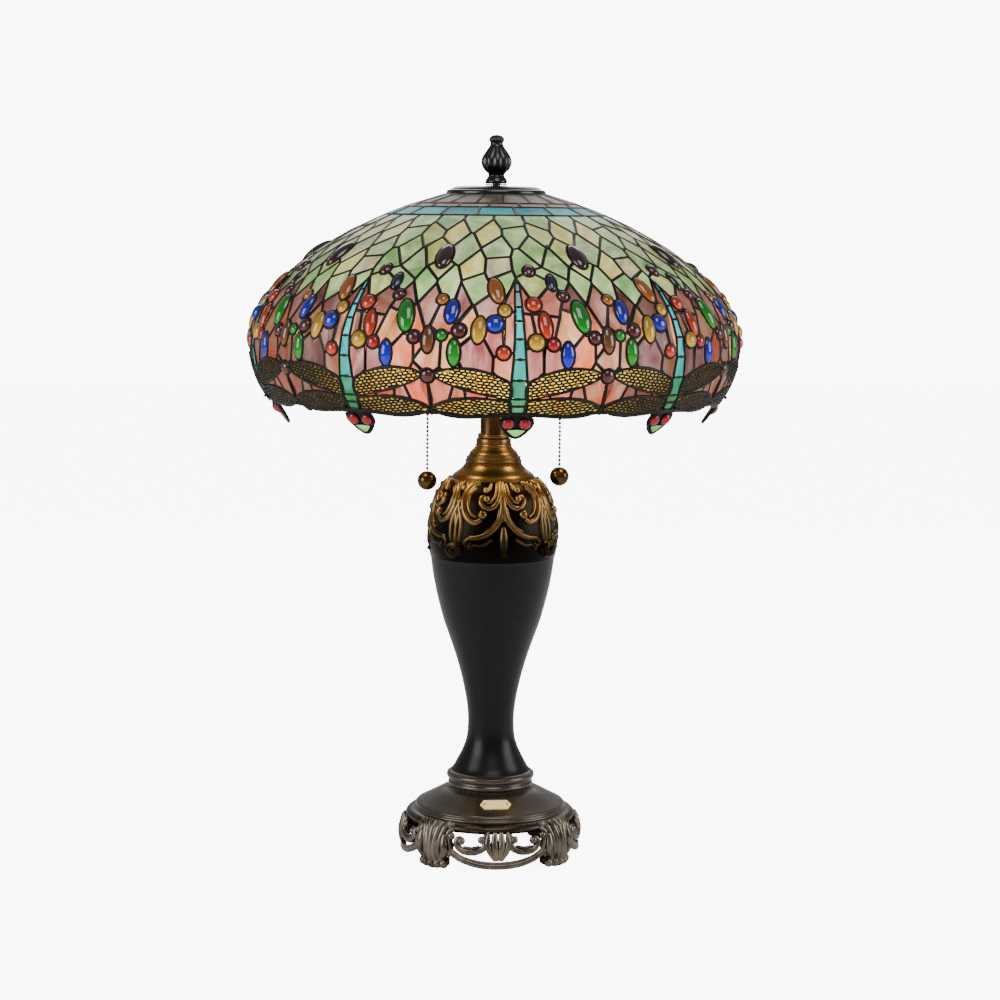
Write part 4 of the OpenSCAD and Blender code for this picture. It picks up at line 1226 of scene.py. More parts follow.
def wing_plate(shape, collector, tint, out):
    """Curved amber plate of a wing, cut in strips so that it follows the shade."""
    thick = 3 * MM
    lows, highs = wing_edges(shape)
    count = len(lows)
    points = [on_shade(u, s, depth) for depth in (out, out - thick) for u, s in lows + highs]
    faces = []
    for i in range(count - 1):
        faces.append((i, i + 1, count + i + 1, count + i))
        faces.append((2 * count + i, 3 * count + i, 3 * count + i + 1, 2 * count + i + 1))
        faces.append((i, 2 * count + i, 2 * count + i + 1, i + 1))
        faces.append((count + i + 1, 3 * count + i + 1, 3 * count + i, count + i))
    faces.append((0, count, 3 * count, 2 * count))
    faces.append((count - 1, 3 * count - 1, 4 * count - 1, 2 * count - 1))
    collector.add(points, faces, tint)


def wing_edges(shape):
    """Upper and lower edge of a wing at even steps of u."""
    cuts = 12
    us = [u for u, _ in shape]
    first, last = min(us), max(us)
    lows, highs = [], []
    for i in range(cuts + 1):
        u = first + (last - first) * min(max(i / cuts, 0.002), 0.998)
        hits = []
        for a, b in zip(shape, shape[1:] + shape[:1]):
            if (a[0] - u) * (b[0] - u) < 0:
                hits.append(a[1] + (b[1] - a[1]) * (u - a[0]) / (b[0] - a[0]))
        hits = hits or [shape[0][1], shape[0][1] + 1]
        lows.append((u, max(hits)))
        highs.append((u, min(hits)))
    return lows, highs


def smooth_ring(shape, count):
    """Closed smooth ring through the places of a shape."""
    around = [Vector(p) for p in shape]
    line = []
    total = len(around)
    for i in range(total):
        four = [around[(i + k - 1) % total] for k in range(4)]
        line += [between(*four, j / count) for j in range(count)]
    return [tuple(p) for p in line]


def wing_filigree(shape, collector, rng, half):
    """Metal lace of small slanted cells that fills a wing."""
    there, back = to_paper(shape)
    ring = [there(u, s) for u, s in shape]
    if area(ring) < 0:
        ring.reverse()
    long_cell = 5.2
    short_cell = 2.9
    margin = 7
    xs, ys = [p.x for p in ring], [p.y for p in ring]
    squash = Vector((1 / long_cell, 1 / short_cell))
    lean = 0.16 if shape[0][0] > 0 else -0.16
    seeds = []
    rows = int((max(ys) - min(ys) + 2 * margin) / short_cell)
    for j in range(rows):
        y = min(ys) - margin + j * short_cell
        count = int((max(xs) - min(xs)) / long_cell) + 2
        for i in range(count):
            x = min(xs) + (i + 0.5 * (j % 2)) * long_cell + rng.uniform(-1.2, 1.2)
            p = Vector((x, y + lean * x + rng.uniform(-0.6, 0.6)))
            if inside(p, ring):
                seeds.append(Vector((p.x * squash.x, p.y * squash.y)))
    border = [Vector((p.x * squash.x, p.y * squash.y)) for p in ring]
    for cell in nearest_cells(seeds, border):
        if len(cell) < 3:
            continue
        paper = [Vector((p.x / squash.x, p.y / squash.y)) for p in cell]
        paper = without_short_edges(paper, 0.35)
        if len(paper) < 3 or abs(area(paper)) < 1.5:
            continue
        pair = inset_pair(paper, half)
        if pair:
            paper, hole = pair
        else:
            middle = sum(paper, Vector((0, 0))) / len(paper)
            hole = [p.lerp(middle, 0.6) for p in paper]
        outer = [back(p) for p in paper]
        inner = [back(p) for p in hole]
        points = [on_shade(u, s, 1.25 * MM) for u, s in outer] + [on_shade(u, s, 0.9 * MM) for u, s in inner]
        collector.add(points, band(len(outer)))


# Solder laid between two dragonflies from here to the rim, and beside the wings as (line, thickness
# in millimetres)
WEDGE_SEAM_TOP = 292
WING_SEAMS = [([(1.9, 289), (1.95, 291), (2.0, 293)], 2.0), ([(2.0, 305), (2.0, 308), (2.0, 311)], 2.0),
              ([(11, 306.2), (14.4, 307.6), (17.1, 311.0), (19.3, 315.6)], 1.5)]


def build_wings():
    """Amber wings, the metal lace over them and their thick borders."""
    rng = random.Random(5)
    amber, lace, borders = Collector(), Collector(), Collector()
    for shape in (UPPER_WING, LOWER_WING, mirrored(UPPER_WING), mirrored(LOWER_WING)):
        wing_plate(shape, amber, (0.95, 0.62, 0.06), 0.3 * MM)
        wing_filigree(shape, lace, rng, sizes().filigree_wire / MM / 2)
        bezel(smooth_ring(shape, 3), 1.9 * MM, borders, out=0.4 * MM)
    seams = [([(SECTOR / 2, s) for s in range(WEDGE_SEAM_TOP, RIM, 2)], 1.7)]
    for side in (-1, 1):
        seams += [([(side * u, s) for u, s in line], thick) for line, thick in WING_SEAMS]
    for line, thick in seams:
        borders.take(wire("seam", [on_shade(u, s, -0.1 * MM) for u, s in line], thick * MM, 8))
    add_glass(amber, "wing_plates", "amber_glass", "wing", "wing_glass")
    net = copy_round(lace).make("wing_lace", tinted=False)
    tidy_mesh(net, gap=1e-4)
    apply_modifier(net, "SOLIDIFY", thickness=0.7 * MM, offset=-1.0)
    smooth(net, 50)
    place(net, "shade", "lead", FINISH["filigree"])
    add_lead(borders, "wing_borders", "filigree")


def build_bodies():
    """Segmented bodies in their lead lines."""
    glass, lead = Collector(), Collector()
    gap = 1.1
    for i, ((s1, w1), (s2, w2)) in enumerate(zip(BODY_LINES, BODY_LINES[1:])):
        top, foot = s1 + gap, s2 - gap
        a = max(0.6, w1 / 2 - gap)
        b = max(0.6, w2 / 2 - gap)
        ring = [(-degrees_for(a, top), top), (-degrees_for(b, foot), foot),
                (degrees_for(b, foot), foot), (degrees_for(a, top), top)]
        rim = [(u, s, 0.5 * MM) for u, s in ring]
        glass.add(*plate(rim, 3.4 * MM, 0.9 * MM), BODY_TINTS[i])
        bar = ((-w2 / 2, s2), (0, s2 + 0.4), (w2 / 2, s2), (0, s2 - 0.4))
        bezel([(degrees_for(x, s), s) for x, s in bar], 1.2 * MM, lead, out=0.5 * MM)
    bezel(body_ring(), 1.45 * MM, lead, out=0.4 * MM)
    add_glass(glass, "body_glass", "blue_green_glass", "tail", "dragonfly_bodies")
    add_lead(lead, "body_leads")


def head_point(across, along, out):
    """Point on the front head panel, from millimetres across it, down it and out of it."""
    slope = math.radians(HEAD_SLOPE)
    root_r = radius_at(RIM) - 1.1 * MM
    root_z = CROWN_Z - SHADE_DROP - 1.4 * MM
    r = root_r - along * MM * math.cos(slope) + out * MM * math.sin(slope)
    z = root_z - along * MM * math.sin(slope) - out * MM * math.cos(slope)
    return Vector((across * MM, -r, z))


def head_plate(ring, low, top, crown):
    """Slab over an outline on the head panel, between two depths, with a raised middle."""
    count = len(ring)
    middle = (sum(x for x, _ in ring) / count, sum(y for _, y in ring) / count)
    points = [head_point(x, y, top) for x, y in ring] + [head_point(x, y, low) for x, y in ring]
    points.append(head_point(*middle, crown))
    faces = [((i + 1) % count, i, 2 * count) for i in range(count)]
    faces += band(count)
    faces.append(tuple(range(count, 2 * count)))
    return points, faces


def head_wire(loop, radius, collector):
    """Lead line round a closed loop on the head panel."""
    collector.take(wire("head_edge", [head_point(*p) for p in loop], radius * MM, 8, closed=True))


# Half outlines of a head and its chin as (across, along), the middle and size of an eye, all in
# millimetres, and the head's slope in degrees
HEAD_SLOPE = 55
HEAD_OUTLINE = [(10, -0.4), (15, 3), (15.6, 8), (14, 12.6), (8.5, 20), (3.5, 24.6), (0, 25.8)]
CHIN_OUTLINE = [(9.2, 15.4), (6.6, 19), (2.8, 22.6), (0, 23.6)]
EYE_ACROSS = 8.1
EYE_ALONG = 7.8
EYE_R = 6.2
EYE_FOOT = -0.3
EYE_RISE = 4.3
EYE_TINT = (0.38, 0.0, 0.012)
CHIN_TINT = (0.36, 0.80, 0.20)


def around_eye(across, reach, out, count):
    """Ring of head places about the middle of an eye."""
    return [(across + reach * math.cos(TURN * i / count), EYE_ALONG + reach * math.sin(TURN * i / count),
             out) for i in range(count)]


def add_eye(across, eyes, lead):
    """Domed eye on a head panel and the lead ring round it."""
    rings, count = 5, 18
    points, faces = [], []
    for k in range(rings):
        lean = 0.5 * math.pi * k / rings
        ring = around_eye(across, EYE_R * math.cos(lean), EYE_FOOT + EYE_RISE * math.sin(lean), count)
        points += [head_point(*p) for p in ring]
    points.append(head_point(across, EYE_ALONG, EYE_FOOT + EYE_RISE))
    for k in range(rings - 1):
        faces += [(k * count + i, (k + 1) * count + i, (k + 1) * count + (i + 1) % count,
                   k * count + (i + 1) % count) for i in range(count)]
    last = (rings - 1) * count
    faces += [(last + i, rings * count, last + (i + 1) % count) for i in range(count)]
    faces.append(tuple(range(count)))
    eyes.add(points, faces, EYE_TINT)
    head_wire(around_eye(across, EYE_R + 0.1, 0.2, 20), 1.1, lead)


def build_heads():
    """Head panels that hang under the rim, with two domed eyes and a pale chin."""
    face, lead, eyes = Collector(), Collector(), Collector()
    shield = HEAD_OUTLINE + mirrored(HEAD_OUTLINE[:-1])
    chin = CHIN_OUTLINE + mirrored(CHIN_OUTLINE[:-1]) + [(0, 14.2)]
    lead.add(*head_plate(shield[::-1], -2.6, -0.3, -0.2))
    face.add(*head_plate(chin[::-1], -0.3, 0.7, 1.2), CHIN_TINT)
    head_wire([(x, y, -0.9) for x, y in shield], 1.6, lead)
    head_wire([(x, y, 0.2) for x, y in chin], 0.8, lead)
    for side in (-1, 1):
        add_eye(side * EYE_ACROSS, eyes, lead)
    add_glass(face, "head_glass", "blue_green_glass", "chin", "dragonfly_heads")
    add_glass(eyes, "eye_glass", "red_glass", "eye", "dragonfly_eyes", angle=70)
    shell = copy_round(lead).make("head_leads", tinted=False)
    tidy_mesh(shell)
    smooth(shell, 70)
    place(shell, "shade", "lead", FINISH["lead"])


def build_rim():
    """Wavy wire along the lower edge of the shade."""
    points = []
    steps = FLIES * 24
    wave = 1.8
    for i in range(steps):
        u = 360 * i / steps
        share = (u % SECTOR) / SECTOR
        dip = 0.8 - wave * math.cos(TURN * 2 * share)
        points.append(on_shade(u, RIM_WIRE + dip, 0.2 * MM))
    obj = wire("rim_wire", points, 2.0 * MM, 10, closed=True)
    tidy_mesh(obj)
    smooth(obj, 80)
    paint_wear(obj)
    place(obj, "shade", "lead", FINISH["lead"])


# ---------------------------------------------------------------- cap and finial


def build_cap():
    """Vented cap with a rolled edge over the crown opening."""
    edge = low("vase_cap").z
    top = high("vase_cap").z
    r = CROWN_R
    bore = bore_over("riser_rod")
    line = outline(
        [(r - 1.5 * MM, edge), (r - 0.6 * MM, edge), (r, edge + 1.2 * MM), (r, edge + 3.4 * MM),
         (r - 0.8 * MM, edge + 5 * MM)],
        [(r - 0.8 * MM, edge + 5 * MM), (r - 4 * MM, edge + 5.6 * MM)],
        [(r - 4 * MM, edge + 5.6 * MM), (r - 6 * MM, edge + 7.2 * MM), (r - 10 * MM, edge + 8.6 * MM),
         (r - 16 * MM, edge + 9.0 * MM)],
        [(r - 16 * MM, edge + 9.0 * MM), (12 * MM, top)], [(12 * MM, top), (bore, top)],
        [(bore, top), (bore, top - 1.4 * MM)],
        [(bore, top - 1.4 * MM), (r - 16 * MM, edge + 7.6 * MM), (r - 8 * MM, edge + 5 * MM),
         (r - 1.5 * MM, edge + 3 * MM)], [(r - 1.5 * MM, edge + 3 * MM), (r - 1.5 * MM, edge)])
    obj = turned("vent_cap", line[:-1])
    paint_wear(obj)
    place(obj, "shade", "black_metal", FINISH["black"], "vase_cap")


def build_finial():
    """Fluted bud finial."""
    foot, top = low("finial").z, high("finial").z
    h = top - foot
    bore = bore_over("riser_rod")
    bits = [(10.6, 0.0), (11.3, 0.035), (10.4, 0.09), (8.4, 0.15), (8.2, 0.18), (9.7, 0.225),
            (12.8, 0.28), (15.2, 0.36), (15.9, 0.43), (15.6, 0.50), (14.2, 0.57), (12.2, 0.63),
            (10.4, 0.68), (8.6, 0.73), (7.0, 0.775), (6.5, 0.82), (7.4, 0.86), (8.1, 0.89),
            (7.4, 0.935), (4.6, 0.98), (0.0, 1.0)]
    line = outline([(bore, foot), (10.6 * MM, foot)], [(r * MM, foot + z * h) for r, z in bits])
    line += [Vector((0, foot + 0.42 * h)), Vector((bore, foot + 0.42 * h))]
    obj = turned("bud_finial", line, steps=96)
    flutes = 10
    for v in obj.data.vertices:
        share = (v.co.z - foot) / h
        r = math.hypot(v.co.x, v.co.y)
        if r < bore + 1 * MM:
            continue
        depth = 0.0
        if 0.2 < share < 0.76:
            depth = 0.13 * math.sin(math.pi * (share - 0.2) / 0.56) ** 0.6
        elif 0.84 < share < 0.97:
            depth = 0.10
        a = math.atan2(v.co.y, v.co.x)
        keep = 1 - depth * (1 - abs(math.sin(0.5 * flutes * a)) ** 0.7)
        v.co.x *= keep
        v.co.y *= keep
    smooth(obj, 50)
    paint_wear(obj)
    place(obj, "finial_body", "black_metal", FINISH["black"], "finial")


# ---------------------------------------------------------------- stem, urn and base


def build_stem():
    """Stem tube with its collar line, and the two cones of the neck."""
    r = high("stem_tube").x
    wall = 2 * MM
    foot, top = low("stem_tube").z, high("stem_tube").z
    tube = turned("stem_sleeve", [Vector(p) for p in (
        (r - wall, foot), (r, foot), (r, top - 1 * MM), (r - 0.6 * MM, top), (r - wall, top))])
    paint_wear(tube)
    place(tube, "base", "aged_brass", FINISH["stem"], "stem_tube")
    z0, z1 = low("neck_cone_lower").z, high("neck_cone_lower").z
    lip = high("neck_cone_lower").x
    inner = r + 0.1 * MM
    bore = bore_over("lamp_pipe")
    lower = outline(
        [(bore, z0), (lip - 1.2 * MM, z0)],
        [(lip - 1.2 * MM, z0), (lip, z0 + 1.3 * MM), (lip - 0.3 * MM, z0 + 2.8 * MM),
         (lip - 2 * MM, z0 + 3.4 * MM)],
        [(lip - 2 * MM, z0 + 3.4 * MM), (40.8 * MM, z0 + 8 * MM), (34.4 * MM, z0 + 12.6 * MM),
         (30.4 * MM, z0 + 17 * MM), (28.8 * MM, z0 + 20.4 * MM)],
        [(28.8 * MM, z0 + 20.4 * MM), (29.4 * MM, z0 + 21.4 * MM), (28.9 * MM, z0 + 22.6 * MM)],
        [(28.9 * MM, z0 + 22.6 * MM), (28.2 * MM, z0 + 23 * MM), (28.2 * MM, z1)],
        [(28.2 * MM, z1), (inner, z1)], [(inner, z1), (inner, z1 - 3 * MM)],
        [(inner, z1 - 3 * MM), (24 * MM, z1 - 3 * MM)], [(24 * MM, z1 - 3 * MM), (33 * MM, z0 + 4 * MM)],
        [(33 * MM, z0 + 4 * MM), (bore, z0 + 4 * MM)])
    cone = turned("neck_lower", lower)
    paint_wear(cone, reach=3.0)
    place(cone, "base", "aged_brass", FINISH["neck"], "neck_cone_lower")
    y0, y1 = low("neck_cone_upper").z, high("neck_cone_upper").z
    upper = outline(
        [(inner, y0), (26 * MM, y0)], [(26 * MM, y0), (24.8 * MM, y0 + 3.6 * MM), (21.2 * MM, y0 + 7.4 * MM),
                                        (18.6 * MM, y0 + 10.4 * MM)],
        [(18.6 * MM, y0 + 10.4 * MM), (18.9 * MM, y0 + 11.6 * MM), (18.2 * MM, y0 + 12.8 * MM)],
        [(18.2 * MM, y0 + 12.8 * MM), (18 * MM, y1 - 5.6 * MM)],
        [(18 * MM, y1 - 5.6 * MM), (16.2 * MM, y1 - 5 * MM)],
        [(16.2 * MM, y1 - 5 * MM), (16.8 * MM, y1 - 3.4 * MM), (16.4 * MM, y1 - 1.2 * MM),
         (15.2 * MM, y1)], [(15.2 * MM, y1), (inner, y1)])
    cap = turned("neck_upper", upper)
    paint_wear(cap, reach=3.0)
    place(cap, "base", "aged_brass", FINISH["neck"], "neck_cone_upper")


def build_urn():
    """Tall urn between the collar and the rings."""
    foot, top = low("urn_body").z, high("urn_body").z
    shoulder = high("urn_body").x
    wall = 2.5 * MM
    side = [(41.6, 0), (38.6, 4), (34.3, 12), (29.6, 21.5), (26.2, 31), (24.7, 40), (24.2, 51),
            (24.6, 62), (26.1, 74), (28.9, 89), (33.0, 106), (38.2, 123.5), (44.4, 141.5),
            (50.4, 158.5), (55.0, 175), (59.1, 192), (62.3, 209), (shoulder / MM - 0.2, 227.6)]
    stretch = (top - foot) / (227.8 * MM)
    outer = flow([(r * MM, foot + z * MM * stretch) for r, z in side], 5)
    outer[-1].y = top
    inner = [Vector((max(p.x - wall, 6 * MM), p.y)) for p in outer]
    inner[0].y = foot
    obj = turned("urn", list(outer) + list(reversed(inner)), steps=120)
    paint_wear(obj)
    place(obj, "base", "dark_bronze", FINISH["urn"], "urn_body")
    z0, z1 = low("base_moulding").z, high("base_moulding").z
    bore = bore_over("lamp_pipe")
    r = high("base_moulding").x
    rings = outline(
        [(bore, z0), (r - 3 * MM, z0)],
        [(r - 3 * MM, z0), (r - 1.8 * MM, z0 + 1.2 * MM), (r - 1.6 * MM, z0 + 3.4 * MM),
         (r - 3.0 * MM, z0 + 5.6 * MM)],
        [(r - 3.0 * MM, z0 + 5.6 * MM), (r - 3.0 * MM, z0 + 7.2 * MM)],
        [(r - 3.0 * MM, z0 + 7.2 * MM), (r - 0.6 * MM, z0 + 8.6 * MM), (r, z0 + 11 * MM),
         (r - 0.6 * MM, z0 + 13.2 * MM), (r - 2.8 * MM, z1 - 1.2 * MM)],
        [(r - 2.8 * MM, z1 - 1.2 * MM), (r - 4.4 * MM, z1)], [(r - 4.4 * MM, z1), (bore, z1)])
    obj = turned("ring_moulding", rings)
    paint_wear(obj, reach=3.0)
    place(obj, "base", "dark_bronze", FINISH["plinth"], "base_moulding")


def build_plinth():
    """Sloping plinth with a stepped edge."""
    z0, z1 = low("base_plinth").z, high("base_plinth").z
    r = high("base_plinth").x
    bore = bore_over("lamp_pipe")
    line = outline(
        [(r - 5 * MM, z0), (r - 0.8 * MM, z0)],
        [(r - 0.8 * MM, z0), (r, z0 + 1.0 * MM), (r - 0.3 * MM, z0 + 2.4 * MM),
         (r - 1.6 * MM, z0 + 3.2 * MM)],
        [(r - 1.6 * MM, z0 + 3.2 * MM), (r - 2.2 * MM, z0 + 4.4 * MM), (r - 2.0 * MM, z0 + 6.0 * MM),
         (r - 3.2 * MM, z0 + 7.4 * MM)],
        [(r - 3.2 * MM, z0 + 7.4 * MM), (70 * MM, z0 + 10.9 * MM), (62 * MM, z0 + 15.2 * MM),
         (53 * MM, z0 + 20 * MM), (46.5 * MM, z0 + 23.2 * MM), (44 * MM, z1)],
        [(44 * MM, z1), (bore, z1)], [(bore, z1), (bore, z1 - 2.5 * MM)],
        [(bore, z1 - 2.5 * MM), (43 * MM, z1 - 2.5 * MM), (60 * MM, z0 + 12 * MM), (r - 5 * MM, z0 + 4 * MM)])
    obj = turned("plinth", line, steps=120)
    paint_wear(obj, reach=3.0)
    place(obj, "base", "dark_bronze", FINISH["plinth"], "base_plinth")


# ---------------------------------------------------------------- cast scroll work
# Places on a cast face are (across, up): millimetres round it from a panel's middle, and height.

COLLAR_TURN = 4.5
COLLAR_LINE = [(45.5, 396), (49.5, 392.5), (54.5, 386), (58.6, 378), (61.4, 369), (63.4, 360),
               (65.2, 351), (66.6, 341), (67.2, 331), (66.6, 322), (65.2, 315)]
FOOT_LINE = [(80, 49), (84, 46.5), (88, 43), (90, 38), (91, 32), (92, 26), (92.5, 18), (92, 10), (90, 0)]
LEG_LINE = [(82, 49), (86, 46.5), (90, 42), (93, 34), (94.6, 26), (95, 18), (94, 10), (92, 0)]


def on_cast(line, across, up, out=0.0, turn=0.0):
    """Point on a turned face; all in millimetres, turn in degrees from the front."""
    rows = sorted((z, r) for r, z in line)
    r = float(np.interp(up, [z for z, _ in rows], [r for _, r in rows]))
    angle = math.radians(turn - 90) + across / r
    return Vector(((r + out) * math.cos(angle), (r + out) * math.sin(angle), up)) * MM


def relief(line, path, thick, both=True, out=0.0, ends=0.5, turn=0.0):
    """Tapered round bar along a path on a cast face, and its mirror image."""
    parts = []
    for side in ((1, -1) if both else (1,)):
        run = flow([(a * side, z, 0) for a, z in path], 6)
        points = [on_cast(line, p.x, p.y, out, turn) for p in run]
        last = len(points) - 1
        radii = [thick * MM * (ends + (1 - ends) * math.sin(math.pi * (0.12 + 0.76 * i / last)) ** 0.8)
                 for i in range(last + 1)]
        parts.append(wire("bar", points, radii, 10))
    return parts


def knob(line, across, up, size, both=True, out=0.0, turn=0.0):
    """Ball on a cast face, and its mirror image."""
    parts = []
    for side in ((1, -1) if both else (1,)):
        where = on_cast(line, across * side, up, out, turn)
        bpy.ops.mesh.primitive_uv_sphere_add(segments=16, ring_count=10, radius=size * MM, location=where)
        ball = bpy.context.view_layer.objects.active
        apply_place(ball)
        parts.append(ball)
    return parts


def cast_wear(obj, share):
    """Wear of a casting: a little all over and more where it stands out."""
    paint_wear(obj, reach=3.0)
    for value in obj.data.attributes["wear"].data:
        value.value = share * (0.25 + 0.75 * value.value)


def darken_below(obj, bottom, top, least):
    """Makes a casting darker towards the bottom: its bright share dies away below a height."""
    for v, value in zip(obj.data.vertices, obj.data.attributes["wear"].data):
        share = min(1, max(0, (v.co.z / MM - bottom) / (top - bottom)))
        value.value *= least + (1 - least) * share


def collar_quarter():
    """Scrolls, balls and knobs of one quarter of the collar."""
    face = COLLAR_LINE
    parts = []
    for path, thick in (
            ([(1, 396), (3, 383), (9, 373), (17, 371), (22.5, 376), (21.5, 381.5), (17, 382)], 3.0),
            ([(4.8, 395), (7, 384.5), (11.5, 378), (16.5, 376)], 1.7),
            ([(10, 395), (12.5, 390), (16.5, 387.5)], 2.1),
            ([(21, 395), (32, 391.5), (40.5, 381), (41.5, 369), (37, 360), (29.5, 356.5), (23, 360)], 3.7),
            ([(26, 390), (34, 384), (36.3, 374), (33.5, 365.5), (28, 362)], 2.2),
            ([(0.8, 384), (1.8, 367), (6.5, 355), (16, 346), (27, 341.5), (36, 340.5), (41, 336),
              (38, 331)], 3.2),
            ([(3.6, 372), (6, 361), (12, 352.5), (20, 347.5)], 1.7),
            ([(44, 395), (47.5, 384), (46.5, 371), (44.5, 358), (46, 345), (48, 337)], 3.0),
            ([(36, 396), (42, 393), (47, 388)], 2.8),
            ([(12, 340), (22, 334), (31, 334)], 2.0)):
        parts += relief(face, path, thick)
    parts += relief(face, [(0, 396), (0, 384), (0, 368), (0, 358)], 2.8, both=False)
    parts += relief(face, [(0, 352), (0, 342), (0, 333), (0, 326)], 5.0, both=False, out=-2.4, ends=0.3)
    parts += relief(face, [(51.5, 392), (51.5, 376), (51, 360), (51.5, 346), (51.5, 336)], 3.0, out=-0.6)
    for across, up, size in ((16.6, 380, 3.8), (16.2, 388.5, 3.6), (21.5, 364.5, 5.2), (34.8, 332.5, 4.0),
                             (43, 371, 3.6), (41, 390, 3.2)):
        parts += knob(face, across, up, size)
    parts += knob(face, 0, 324, 2.6, both=False)
    corner = 45
    parts += knob(face, 0, 328, 9.8, both=False, out=-2.4, turn=corner)
    ring = [on_cast(face, 6.0 * math.cos(a), 328 + 6.0 * math.sin(a), 5.0, corner)
            for a in (TURN * k / 14 for k in range(14))]
    parts.append(wire("curl", ring, 2.6 * MM, 8, closed=True))
    parts += knob(face, 0, 328, 2.8, both=False, out=7.0, turn=corner)
    return joined("collar_scrolls", parts)


def build_collar():
    """Cast collar of scrolls over the urn's shoulder."""
    shell = outline([(r * MM, z * MM) for r, z in COLLAR_LINE])
    inside_line = [Vector((max(p.x - 3 * MM, 30 * MM), p.y)) for p in reversed(shell)]
    body = turned("collar_shell", list(shell) + inside_line, steps=96)
    scrolls = repeat(collar_quarter(), 4, first=math.radians(COLLAR_TURN))
    for obj, wear in ((scrolls, 1.0), (body, 0.06)):
        cast_wear(obj, wear)
        darken_below(obj, 330, 388, 0.03)
    smooth(scrolls, 60)
    obj = joined("scroll_work", [scrolls, body])
    place(obj, "base", "antique_bronze", FINISH["scrolls"], "scroll_collar")


def foot_quarter():
    """One open side of the foot with half a leg at each end."""
    face, leg = FOOT_LINE, LEG_LINE
    parts = []
    for path, thick in (
            ([(17, 34), (13.5, 31), (15, 25.5), (24.5, 21), (36, 21.5), (43, 27), (42, 33), (38, 34)], 3.6),
            ([(19, 27.5), (27, 25), (36, 26)], 1.6),
            ([(46, 43), (52, 39), (53, 34), (49, 33)], 3.0),
            ([(53, 38), (51, 30), (50, 22), (53, 14)], 3.2),
            ([(44, 46), (52, 45), (60, 43)], 2.8)):
        parts += relief(face, path, thick)
    parts += relief(face, [(-52, 20), (-38, 12.5), (-20, 7.6), (0, 6.2), (20, 7.6), (38, 12.5), (52, 20)],
                    3.4, both=False, ends=0.9)
    parts += relief(face, [(-50, 23), (-37, 15.5), (-20, 11.2), (0, 9.8), (20, 11.2), (37, 15.5), (50, 23)],
                    1.6, both=False, out=0.8, ends=0.9)
    for across, top, thick in ((3.2, 41, 4.2), (9.4, 40, 3.6)):
        parts += relief(face, [(across, top), (across * 1.15, 30), (across * 0.85, 22), (across * 0.3, 13)],
                        thick, out=0.8, ends=0.25)
    parts += relief(face, [(9, 41), (13, 38), (14, 34)], 2.2)
    for across, up, size in ((17, 33.5, 4.0), (38.3, 31.5, 4.2), (49.4, 35.3, 4.2), (64, 40, 3.0)):
        parts += knob(face, across, up, size)
    parts += relief(leg, [(57.5, 36), (58.5, 28), (58, 20), (62, 12)], 4.6, out=-0.5, ends=0.4)
    parts += relief(leg, [(60, 46), (65, 41), (67, 33), (66, 24)], 2.8, out=0.6)
    for shift, toe in ((-12.5, -13), (-6.4, -6.8), (0, 0), (6.4, 6.8), (12.5, 13)):
        path = [(shift * 1.25, 47), (shift, 40), (shift * 0.72, 27), (shift * 0.66, 16), (toe, 8),
                (toe * 1.1, 4.5)]
        drop = 0.02 * shift * shift
        parts += relief(leg, path, 3.7, both=False, out=1.6 - drop, ends=0.7, turn=45)
        parts += knob(leg, toe * 1.05, 5.2, 4.9, both=False, out=1.2 - drop, turn=45)
        if shift:
            path = [((a + 0.5 * math.copysign(6.2, -shift)) * 0.98, z) for a, z in path[:5]]
            parts += relief(leg, path, 1.5, both=False, out=3.2 - drop, ends=0.5, turn=45)
    parts += relief(leg, [(0, 44), (0, 30), (0, 18), (0, 10)], 9.5, both=False, out=-8.5, ends=0.9, turn=45)
    bpy.ops.mesh.primitive_cylinder_add(vertices=40, radius=12.5 * MM, depth=8 * MM,
                                        location=on_cast(leg, 0, 4.6, -9.5, 45))
    pad = bpy.context.view_layer.objects.active
    apply_modifier(pad, "BEVEL", width=2 * MM, segments=3)
    apply_place(pad)
    return joined("foot_scrolls", parts + [pad])


def build_foot():
    """Pierced foot with four leafy legs."""
    rim = outline(
        [(74 * MM, 47.5 * MM), (80 * MM, 48 * MM)],
        [(80 * MM, 48 * MM), (84.5 * MM, 47 * MM), (88 * MM, 44.5 * MM), (88.6 * MM, 41.5 * MM),
         (86 * MM, 38.5 * MM)], [(86 * MM, 38.5 * MM), (80 * MM, 38 * MM)],
        [(80 * MM, 38 * MM), (74 * MM, 41 * MM)])
    ring = turned("foot_ring", rim, steps=96)
    scrolls = repeat(foot_quarter(), 4)
    for obj, wear in ((scrolls, 1.0), (ring, 0.5)):
        cast_wear(obj, wear)
    smooth(scrolls, 60)
    obj = joined("foot_work", [scrolls, ring])
    place(obj, "base", "antique_bronze", FINISH["feet"], "foot_casting")


# ---------------------------------------------------------------- stage


CAMERA_AZIMUTH = -5.6
CAMERA_ELEVATION = 6.7
CAMERA_ROLL = 0.6
AIM_HEIGHT = 0.373
AIM_RIGHT = 0.0072

# Soft boxes as (name, place, size, power)
LIGHT_BOXES = [("left_box", (-2.0, -0.9, 1.0), 1.3, 34), ("right_box", (2.1, -0.7, 1.0), 1.3, 30),
               ("top_box", (0.1, -1.3, 2.3), 1.2, 22), ("back_box", (0.2, 1.9, 1.6), 1.6, 16)]


